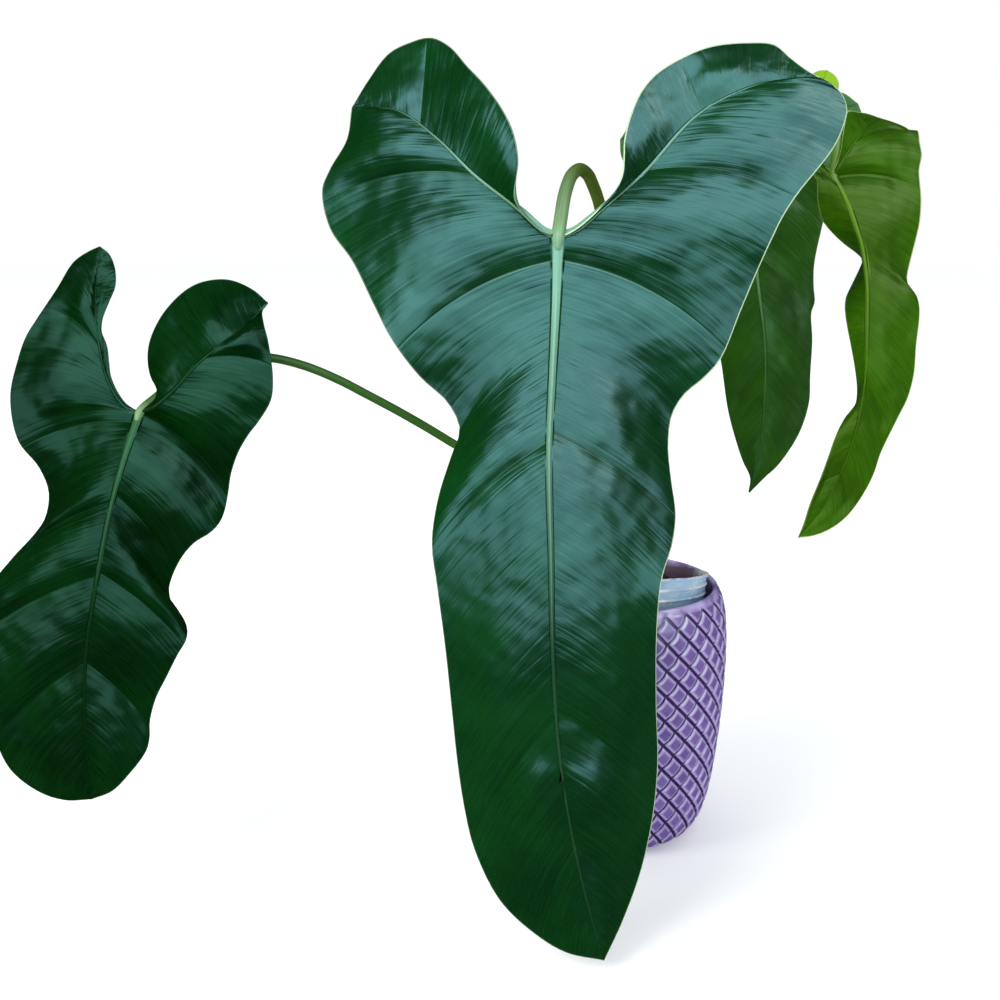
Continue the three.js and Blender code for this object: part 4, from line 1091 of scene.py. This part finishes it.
def petiole_mesh(name):
    """A petiole from inside the stem to the notch of its blade, where it runs on into the midrib."""
    petiole, leaf = PETIOLES[name], LEAVES[name]
    path = [seen_at(*p) for p in petiole["path"]]
    joint = seen_at(leaf["joint"][0], leaf["joint"][1], leaf["distance"])
    x, y, nearer = leaf["midrib"][0]
    into = seen_at(x, y, leaf["distance"] - nearer + JOINT_SINK)
    end = joint + (into - joint).normalized() * JOINT_OVERLAP
    line = SmoothLine([Vector((0, 0, petiole["foot"] - FOOT_DROP)), *path, joint, end])

    def radius_at(share):
        from_foot = share * line.length
        left = line.length - from_foot
        sheath = (petiole["foot_radius"] - petiole["radius"]) * math.exp(-from_foot / SHEATH_LENGTH)
        plain = lerp(petiole["joint_radius"], petiole["radius"],
                     smoothstep(left - JOINT_OVERLAP, 0, NECK_LENGTH))
        return (plain + sheath) * lerp(0.35, 1, smoothstep(left, -2, 7))

    bm = bmesh.new()
    layer = bm.loops.layers.uv.new("skin")
    tube(bm, line, radius_at, 150, 28, layer)
    return bm


# Leaf blades


def panel_rise(s, veins):
    """The swell between two side veins: 0 on them, and 1 where it is highest, nearer the lower one."""
    k = max(1, min(bisect.bisect_left(veins, s), len(veins) - 1))
    width = veins[k] - veins[k - 1]
    share = ((s - veins[k - 1]) / width) ** PANEL_SKEW
    return 4 * share * (1 - share) * min(1, width / 0.3)


def swell_at(leaf, x, y):
    """How far the blade's small swells bring it nearer at a place of the frame."""
    return sum(height * math.exp(-((x - u) ** 2 + (y - v) ** 2) / (2 * reach ** 2))
               for u, v, reach, height in leaf["swells"])


def outer_row(leaf, side, hand):
    """Rows across the outer part of a half blade: row(s) gives place(t), from rib (0) to edge (1)."""
    rib = SmoothLine([leaf["joint"], *side["rib"], side["end"]])
    midrib = SmoothLine([leaf["joint"], *leaf["midrib"], leaf["tip"]])
    edge = SmoothLine([side["end"], *side["outer"], leaf["tip"]])

    def row(s):
        if s < 1:
            start, along = rib.at(1 - s), side["turn"] * s ** LOBE_PAIRING
        else:
            start, along = midrib.at(s - 1), 1 - (1 - side["turn"]) * (2 - s) ** BLADE_PAIRING
        chord = edge.at(along) - start
        bow = lerp(LOBE_CURL, BLADE_CURL, min(1, max(0, (s - 1) * 4))) * hand
        rise = leaf["crown"] + leaf["billow"] * panel_rise(s, side["veins"])
        rise *= min(1, chord.length / FULL_SWELL_WIDTH)

        def place(t):
            curl = bow * 4 * t * (1 - t)
            x, y, nearer = start + chord * t
            x, y = x + curl * chord.y, y - curl * chord.x
            nearer += math.sin(math.pi * t) ** BULGE * rise + swell_at(leaf, x, y)
            return seen_at(x, y, leaf["distance"] - nearer)

        return place

    return row


def inner_row(leaf, side):
    """Rows across the inner part of a back lobe, from its rib (0) to the sinus (1)."""
    rib = SmoothLine([leaf["joint"], *side["rib"], side["end"]])
    edge = SmoothLine([leaf["joint"], *side["inner"], side["end"]])

    def row(s):
        start, stop = rib.at(1 - s), edge.at(1 - s)
        rise = leaf["crown"] + INNER_BILLOW * leaf["billow"] * panel_rise(s, side["inner_veins"])
        rise *= min(1, 4 * s * (1 - s)) * min(1, (stop - start).length / FULL_SWELL_WIDTH)

        def place(t):
            x, y, nearer = start.lerp(stop, t)
            nearer += math.sin(math.pi * t) ** BULGE * rise + swell_at(leaf, x, y)
            return seen_at(x, y, leaf["distance"] - nearer)

        return place

    return row


def spread(breaks):
    """Stations from the first break to the last, even between breaks, with every break among them."""
    stations = [breaks[0]]
    for low, high in zip(breaks, breaks[1:]):
        count = math.ceil((high - low) / STATION_STEP)
        stations += [lerp(low, high, (k + 1) / count) for k in range(count)]
    return stations


def rib_thickness(leaf, s):
    return leaf["lobe_rib_thickness"] * s if s < 1 else leaf["midrib_thickness"] * (2 - s) ** 0.8


def rib_half_width(leaf, s):
    """Half of the width that a rib shows on the front."""
    if s < 1:
        return 0.35 + rib_thickness(leaf, s) * 0.34
    return 0.3 + rib_thickness(leaf, s) * (0.3 + 0.24 * math.exp((1 - s) / 0.07))


def rib_paleness(leaf, s):
    return leaf["lobe_rib_tone"] * s ** 0.5 if s < 1 else 0.06 + 0.89 * (1 - smoothstep(s, 1.0, 1.6))


def across_row(place, half_width):
    """Shares across a row: close together over the rib, then wider out to the edge."""
    reach = (place(1) - place(0)).length
    unit = min(half_width / max(reach, 1e-6), 0.3)
    near = [unit * k for k in ACROSS_RIB]
    bead = 1 - min(0.02, EDGE_BEAD / max(reach, 1e-6))
    return near + [lerp(near[-1], bead, (k / ACROSS_BLADE) ** 1.15) for k in range(1, ACROSS_BLADE + 1)] + [1]


class BladeLayers:
    """The maps and measures that a blade's mesh carries for its thickness and its material."""

    def __init__(self, bm):
        self.veins = bm.loops.layers.uv.new("veins")
        self.ribs = bm.loops.layers.uv.new("ribs")
        self.lines = bm.loops.layers.uv.new("lines")
        self.back = bm.verts.layers.float.new("back")
        self.over = bm.verts.layers.float.new("over")
        self.under = bm.verts.layers.float.new("under")


def lay_patch(bm, layers, leaf, row, stations, veins, start, thickness):
    """One grid of a blade, from its rib to its edge."""
    rows = [row(s) for s in stations]
    shares = [across_row(place, rib_half_width(leaf, s)) for s, place in zip(stations, rows)]
    places = [[place(t) for t in ts] for place, ts in zip(rows, shares)]
    by_step = grid_skin(bm, len(stations) - 1, len(shares[0]) - 1, lambda i, j: places[i][j])
    inner_veins = [v for v in veins if 0 < v < 2]
    vein_rows = {v: row(v) for v in inner_veins}
    midway = len(shares[0]) // 2
    walked = [0.0]
    for a, b in zip(places, places[1:]):
        walked.append(walked[-1] + (b[midway] - a[midway]).length)

    def from_rib(i, j):
        return (places[i][j] - places[i][0]).length / rib_half_width(leaf, stations[i])

    def from_vein(i, j):
        if not inner_veins:
            return VEIN_REACH
        nearest = min(inner_veins, key=lambda v: abs(v - stations[i]))
        return min(VEIN_REACH, (places[i][j] - vein_rows[nearest](shares[i][j])).length)

    map_corners(layers.veins, by_step, lambda i, j: (start + walked[i], shares[i][j]))
    map_corners(layers.ribs, by_step, lambda i, j: (from_rib(i, j), rib_paleness(leaf, stations[i])))
    map_corners(layers.lines, by_step,
                lambda i, j: (from_vein(i, j), min(EDGE_REACH, (places[i][-1] - places[i][j]).length)))
    for (i, j), vert in by_step.items():
        rounding = 0.5 + 0.5 * math.cos(math.pi * min(1, from_rib(i, j)))
        round_rib = rounding * rib_thickness(leaf, stations[i])
        half = lerp(thickness / 2, EDGE_HALF, shares[i][j] ** 12)
        vert[layers.over] = half + leaf["rib_front"] * round_rib
        vert[layers.under] = half + (1 - leaf["rib_front"]) * round_rib


def blade_mesh(leaf, thickness):
    """A blade: four grids joined along the ribs, then given its thickness with raised, rounded ribs."""
    bm = bmesh.new()
    layers = BladeLayers(bm)
    sides = [(leaf["left"], -1), (leaf["right"], 1)]
    down = spread(sorted({1, 2, *[v for side, _ in sides for v in side["veins"] if v > 1]}))
    for k, (side, hand) in enumerate(sides):
        lobe = spread(sorted({0, 1, *[v for v in side["veins"] + side["inner_veins"] if v < 1]}))
        lay_patch(bm, layers, leaf, outer_row(leaf, side, hand), lobe + down[1:], side["veins"],
                  RIGHT_HALF_FROM * k, thickness)
        lay_patch(bm, layers, leaf, inner_row(leaf, side), lobe,
                  [v for v in side["inner_veins"] if 0 < v < 1], RIGHT_HALF_FROM * k + INNER_PART_FROM,
                  thickness)
    bmesh.ops.remove_doubles(bm, verts=bm.verts, dist=WELD)
    bmesh.ops.recalc_face_normals(bm, faces=bm.faces)
    bm.normal_update()
    towards = sum((face.normal * face.calc_area() for face in bm.faces), Vector())
    if towards.dot(FORWARD) > 0:
        bmesh.ops.reverse_faces(bm, faces=bm.faces)
        bm.normal_update()

    heading = bm.verts.layers.float_vector.new("heading")
    for vert in bm.verts:
        vert[heading] = vert.normal
    made = bmesh.ops.extrude_face_region(bm, geom=bm.faces[:], use_keep_orig=True)["geom"]
    front = {g for g in made if isinstance(g, bmesh.types.BMVert)}
    for vert in bm.verts:
        if vert in front:
            vert.co += vert[heading] * vert[layers.over]
        else:
            vert.co -= vert[heading] * vert[layers.under]
            vert[layers.back] = 1
    bm.verts.layers.float_vector.remove(heading)
    bmesh.ops.recalc_face_normals(bm, faces=bm.faces)
    return bm


# Stage


def floor_material(colour):
    material, n, shader = new_material("pale_floor", Specular_IOR_Level=0.1, Emission_Strength=FLOOR_GLOW)
    speck = n.noise(n.object_place(), scale=9.0, detail=4.0)
    tone = n.mix(n.times(speck, 0.06), rgba(colour), (0.7, 0.7, 0.7, 1))
    finish_skin(n, shader, tone, n.times_plus(speck, 0.1, 0.8))
    n.put(shader["Emission Color"], tone)
    return material


def lay_floor(look):
    bm = bmesh.new()
    bmesh.ops.create_circle(bm, cap_ends=True, segments=96, radius=FLOOR_RADIUS)
    mesh = bpy.data.meshes.new("floor")
    bm.to_mesh(mesh)
    bm.free()
    floor = bpy.data.objects.new("floor", mesh)
    mesh.materials.append(floor_material(look.floor_colour))
    bpy.context.scene.collection.objects.link(floor)
    floor.visible_glossy = False


def aimed_light(name, place, target, width, height, power, colour):
    light = bpy.data.lights.new(name, "AREA")
    light.shape = "RECTANGLE"
    light.size, light.size_y = width, height
    light.energy = power
    light.color = colour
    lamp = bpy.data.objects.new(name, light)
    lamp.location = place
    lamp.rotation_euler = (Vector(target) - Vector(place)).to_track_quat("-Z", "Y").to_euler()
    bpy.context.scene.collection.objects.link(lamp)
    return lamp


def hang_lights(look):
    """The cards that only the gloss mirrors, and the light that falls on everything."""
    cards = [
        ("sky", (0.4, -2.8, 3.2), (0.4, 0, 3.2), 7.4, 5.6, look.sky_power, (0.8, 0.93, 1.0)),
        ("high_sky", (0.1, -2.7, 3.7), (0.1, 0, 3.7), 4, 3.6, look.glow_power, (0.85, 0.95, 1.0)),
        ("window", (1.81, -0.81, 2.33), (0, 0, 0.35), 0.9, 1.3, look.window_power, (0.95, 1.0, 0.97)),
    ]
    for card in cards:
        lamp = aimed_light(*card)
        lamp.visible_diffuse = False
        lamp.visible_camera = False
    key = aimed_light("key", (-1.6, -1.4, 1.9), (-0.05, 0, 0.25), 1.4, 1.4, look.key_power, (1, 0.98, 0.95))
    key.visible_glossy = False


def place_camera():
    camera = bpy.data.cameras.new("camera")
    camera.lens = camera.sensor_width * FOCAL_LENGTH / FRAME_SIDE
    viewer = bpy.data.objects.new("camera", camera)
    viewer.location = EYE * MM
    viewer.rotation_euler = (math.pi / 2 - LOOK_DOWN, 0, 0)
    bpy.context.scene.collection.objects.link(viewer)
    bpy.context.scene.camera = viewer


def studio_world(look):
    """Near white where the camera sees it, and a soft grey fill for everything else."""
    world = bpy.data.worlds.new("studio")
    world.use_nodes = True
    bpy.context.scene.world = world
    n = Nodes(world.node_tree)
    fill = world.node_tree.nodes["Background"]
    fill.inputs["Color"].default_value = rgba(look.fill_colour)
    path = n.add("LightPath").outputs
    dimming = n.times(path["Is Glossy Ray"], look.fill_strength - look.mirror_strength)
    n.put(fill.inputs["Strength"], n.minus(look.fill_strength, dimming))
    seen = n.add("Background", {"Color": (1, 1, 1, 1), "Strength": 1.0})
    both = n.add("MixShader", {0: path["Is Camera Ray"], 1: fill.outputs[0], 2: seen.outputs[0]})
    n.put(world.node_tree.nodes["World Output"].inputs["Surface"], both.outputs[0])


# Settings


def colour_setting(name, description, default):
    return FloatVectorProperty(name=name, description=description, default=srgb(default), subtype="COLOR",
                               size=3, min=0, max=1)


def power_setting(name, description, default):
    return FloatProperty(name=name, description=description, default=default, min=0, unit="POWER")


class PhilodendronPlanterLook(bpy.types.PropertyGroup):
    relief: FloatProperty(name="Net relief", description="Height of the net's cells over their grooves",
                          default=1.5 * MM, min=0, max=3 * MM, precision=4, unit="LENGTH")
    glaze_centre: colour_setting("Cell", "Glaze in the middle of a cell", "7a62a6")
    glaze_deep: colour_setting("Deep cell", "Glaze of the deeper cells", "6a5298")
    glaze_edge: colour_setting("Cell edge", "Thin glaze over the edges of the cells", "c3b2e6")
    glaze_groove: colour_setting("Groove", "Glaze pooled in the grooves", "38205e")
    # Painted light: paler than the inside glaze is, so the shaded gap between the pots stays light
    glaze_inside_painted_light: colour_setting("Inside", "Glaze on the inside wall", "b5a6c9")


class PhilodendronPotLook(bpy.types.PropertyGroup):
    plastic_tint: colour_setting("Plastic", "Tint of the clear nursery pot", "9fcdf2")
    plastic_inside: colour_setting("Plastic inside", "Inner wall, with the mix showing through", "7a6478")
    plastic_film: colour_setting("Film", "Condensation on the nursery pot", "cfe5f6")
    droplets: IntProperty(name="Drops", description="Water drops above the planter's rim", default=110,
                          min=0, max=400)
    mix_dark: colour_setting("Damp mix", "Dark part of the potting mix", "1d1310")
    mix_light: colour_setting("Dry crumbs", "Light part of the potting mix", "4e3427")
    bark: colour_setting("Bark", "Bark chips on the mix", "6b4630")
    chips: IntProperty(name="Chips", description="Bark chips on the mix", default=170, min=0, max=400)


class PhilodendronStalkLook(bpy.types.PropertyGroup):
    stem: colour_setting("Stem", "Skin of the stem", "5b7434")
    scar: colour_setting("Leaf scars", "Streaks and scars of the stem", "5a4326")
    main_back: colour_setting("Main petiole, back", "Lower part of the main leaf's petiole", "566c12")
    main_front: colour_setting("Main petiole, front", "Upper part of the main leaf's petiole", "7da070")
    left: colour_setting("Left petiole", "Petiole of the left leaf", "2e5c16")
    rear: colour_setting("Rear petiole", "Petiole of the rear leaf", "4f6a2c")
    young: colour_setting("Young petiole", "Petiole of the young leaf", "5c8420")


class PhilodendronBladeLook(bpy.types.PropertyGroup):
    thickness: FloatProperty(name="Thickness", description="Thickness of the blades between their ribs",
                             default=0.9 * MM, min=0.6 * MM, max=1.2 * MM, precision=4, unit="LENGTH")
    main_dark: colour_setting("Main, dark", "Darker green of the main leaf", "002c02")
    main_light: colour_setting("Main, light", "Lighter green of the main leaf", "043c08")
    left_dark: colour_setting("Left, dark", "Darker green of the left leaf", "011a01")
    left_light: colour_setting("Left, light", "Lighter green of the left leaf", "032c06")
    rear_dark: colour_setting("Rear, dark", "Darker green of the rear leaf", "1c4402")
    rear_light: colour_setting("Rear, light", "Lighter green of the rear leaf", "2c5a0a")
    young_dark: colour_setting("Young, dark", "Darker green of the young leaf", "244a00")
    young_light: colour_setting("Young, light", "Lighter green of the young leaf", "326400")
    main_rib: colour_setting("Main, ribs", "Midrib and side ribs of the main leaf", "7caa8a")
    left_rib: colour_setting("Left, ribs", "Midrib and side ribs of the left leaf", "305c34")
    rear_rib: colour_setting("Rear, ribs", "Midrib and side ribs of the rear leaf", "86b070")
    young_rib: colour_setting("Young, ribs", "Midrib and side ribs of the young leaf", "6a9426")
    # The edge colours are painted highlights along the blades' edges
    main_margin: colour_setting("Main, edge", "Thin pale edge of the main leaf", "c2dcae")
    left_margin: colour_setting("Left, edge", "Edge of the left leaf", "2c5030")
    rear_margin: colour_setting("Rear, edge", "Edge of the rear leaf", "56782c")
    young_margin: colour_setting("Young, edge", "Edge of the young leaf", "b4cb80")
    # Painted glow of light shining through the young leaf's thin lobe ends
    lobe_glow: colour_setting("Lobe glow", "Painted glow of light through the lobe ends of the young leaf", "86b808")
    back: colour_setting("Underside", "Duller green of the undersides", "33663a")


class PhilodendronStageLook(bpy.types.PropertyGroup):
    floor_colour: colour_setting("Floor", "Pale plain floor", "f9f9f9")
    fill_colour: colour_setting("Fill", "Colour of the light from all round", "f4f8fb")
    fill_strength: FloatProperty(name="Fill strength", description="Light from all round", default=1.0, min=0)
    mirror_strength: FloatProperty(name="Dark room", description="What gloss mirrors apart from the lights",
                                   default=0.03, min=0)
    sky_power: power_setting("Sky power", "Big soft light that the gloss mirrors", 520)
    glow_power: power_setting("High sky power", "Brighter middle of the mirrored card", 110)
    window_power: power_setting("Window power", "Small bright card at the right", 28)
    key_power: power_setting("Key power", "Soft light from the upper left", 45)


LOOKS = {
    "philodendron_planter": PhilodendronPlanterLook,
    "philodendron_pot": PhilodendronPotLook,
    "philodendron_stalks": PhilodendronStalkLook,
    "philodendron_blades": PhilodendronBladeLook,
    "philodendron_stage": PhilodendronStageLook,
}


# Operators


class PHILODENDRON_OT_planter(bpy.types.Operator):
    """Make the glazed planter with its raised net"""
    bl_idname = "philodendron.planter"
    bl_label = "Planter"

    def execute(self, context):
        look = context.scene.philodendron_planter
        bm = planter_mesh(look.relief / MM)
        keep_in_box(bm)
        add_piece("glazed_planter", bm, "planter_glaze", glaze_material(look), "planter")
        return {"FINISHED"}


class PHILODENDRON_OT_nursery_pot(bpy.types.Operator):
    """Make the clear nursery pot and the drops on it"""
    bl_idname = "philodendron.nursery_pot"
    bl_label = "Nursery Pot"

    def execute(self, context):
        look = context.scene.philodendron_pot
        pot = add_piece("clear_nursery_pot", nursery_mesh(), "clear_plastic", clear_plastic_material(look),
                        "nursery_pot")
        cut_from(pot, drain_cutters())
        add_piece("water_drops", droplets_mesh(look.droplets, DROP_SEED), "clear_plastic", water_material())
        return {"FINISHED"}


class PHILODENDRON_OT_potting_mix(bpy.types.Operator):
    """Make the potting mix and the bark chips that lie on it"""
    bl_idname = "philodendron.potting_mix"
    bl_label = "Potting Mix"

    def execute(self, context):
        look = context.scene.philodendron_pot
        add_piece("damp_potting_mix", mix_mesh(), "potting_mix", mix_material(look), "potting_mix")
        add_piece("bark_chips", chips_mesh(look.chips, CHIP_SEED), "potting_mix", bark_material(look))
        return {"FINISHED"}


class PHILODENDRON_OT_stem(bpy.types.Operator):
    """Make the climbing stem with its nodes and the sheath of the next leaf"""
    bl_idname = "philodendron.stem"
    bl_label = "Stem"

    def execute(self, context):
        look = context.scene.philodendron_stalks
        skin = stalk_material("stem_skin", look.scar, look.stem, look.young, look.young, look.scar, 0.5)
        add_piece("climbing_stem", stem_mesh(), "stem", skin, "stem")
        return {"FINISHED"}


class PHILODENDRON_OT_petioles(bpy.types.Operator):
    """Make the petiole of each leaf"""
    bl_idname = "philodendron.petioles"
    bl_label = "Petioles"

    def execute(self, context):
        look = context.scene.philodendron_stalks
        ribs = context.scene.philodendron_blades
        ends = {
            "main": (look.main_back, look.main_back, look.main_front, ribs.main_rib),
            "left": (look.stem, look.left, look.left, look.main_front),
            "rear": (look.stem, look.rear, look.rear, ribs.rear_rib),
            "young": (look.stem, look.young, look.young, ribs.young_rib),
        }
        for name, (foot, middle, joint, end) in ends.items():
            skin = stalk_material(name + "_petiole_skin", foot, middle, joint, end, look.left, 0.55)
            bm = petiole_mesh(name)
            keep_in_box(bm)
            add_piece("leaf_stalk_" + name, bm, "petiole_" + name, skin, "petiole_" + name)
        return {"FINISHED"}


class PHILODENDRON_OT_blades(bpy.types.Operator):
    """Make the blade of each leaf with its ribs, veins and waved edge"""
    bl_idname = "philodendron.blades"
    bl_label = "Leaf Blades"

    def execute(self, context):
        look = context.scene.philodendron_blades
        for name, leaf in LEAVES.items():
            dark, light, rib, edge_highlight = [
                getattr(look, name + part) for part in ("_dark", "_light", "_rib", "_margin")]
            skin = blade_material(name, dark, light, rib, edge_highlight, look)
            bm = blade_mesh(leaf, look.thickness / MM)
            keep_in_box(bm)
            add_piece("leaf_blade_" + name, bm, "blade_" + name, skin, "blade_" + name)
        return {"FINISHED"}


class PHILODENDRON_OT_stage(bpy.types.Operator):
    """Set the pale floor, the soft studio light and the camera"""
    bl_idname = "philodendron.stage"
    bl_label = "Stage"

    def execute(self, context):
        look = context.scene.philodendron_stage
        lay_floor(look)
        studio_world(look)
        hang_lights(look)
        place_camera()
        context.scene.view_settings.view_transform = "Standard"
        return {"FINISHED"}


STEPS = [
    PHILODENDRON_OT_planter,
    PHILODENDRON_OT_nursery_pot,
    PHILODENDRON_OT_potting_mix,
    PHILODENDRON_OT_stem,
    PHILODENDRON_OT_petioles,
    PHILODENDRON_OT_blades,
    PHILODENDRON_OT_stage,
]


class VIEW3D_PT_philodendron(bpy.types.Panel):
    """Lists the steps and the settings of the potted philodendron"""
    bl_label = "Potted Philodendron"
    bl_space_type = "VIEW_3D"
    bl_region_type = "UI"
    bl_category = "Philodendron"

    def draw(self, context):
        for step in STEPS:
            self.layout.operator(step.bl_idname)
        for name, group in LOOKS.items():
            box = self.layout.box()
            for setting in group.__annotations__:
                box.prop(getattr(context.scene, name), setting)


CLASSES = [*LOOKS.values(), *STEPS, VIEW3D_PT_philodendron]


def register():
    for made in CLASSES:
        bpy.utils.register_class(made)
    for name, group in LOOKS.items():
        setattr(bpy.types.Scene, name, PointerProperty(type=group))


def unregister():
    for name in LOOKS:
        delattr(bpy.types.Scene, name)
    for made in reversed(CLASSES):
        bpy.utils.unregister_class(made)


def main():
    register()
    bpy.ops.philodendron.planter()
    bpy.ops.philodendron.nursery_pot()
    bpy.ops.philodendron.potting_mix()
    bpy.ops.philodendron.stem()
    bpy.ops.philodendron.petioles()
    bpy.ops.philodendron.blades()
    bpy.ops.philodendron.stage()


if __name__ == "__main__":
    main()
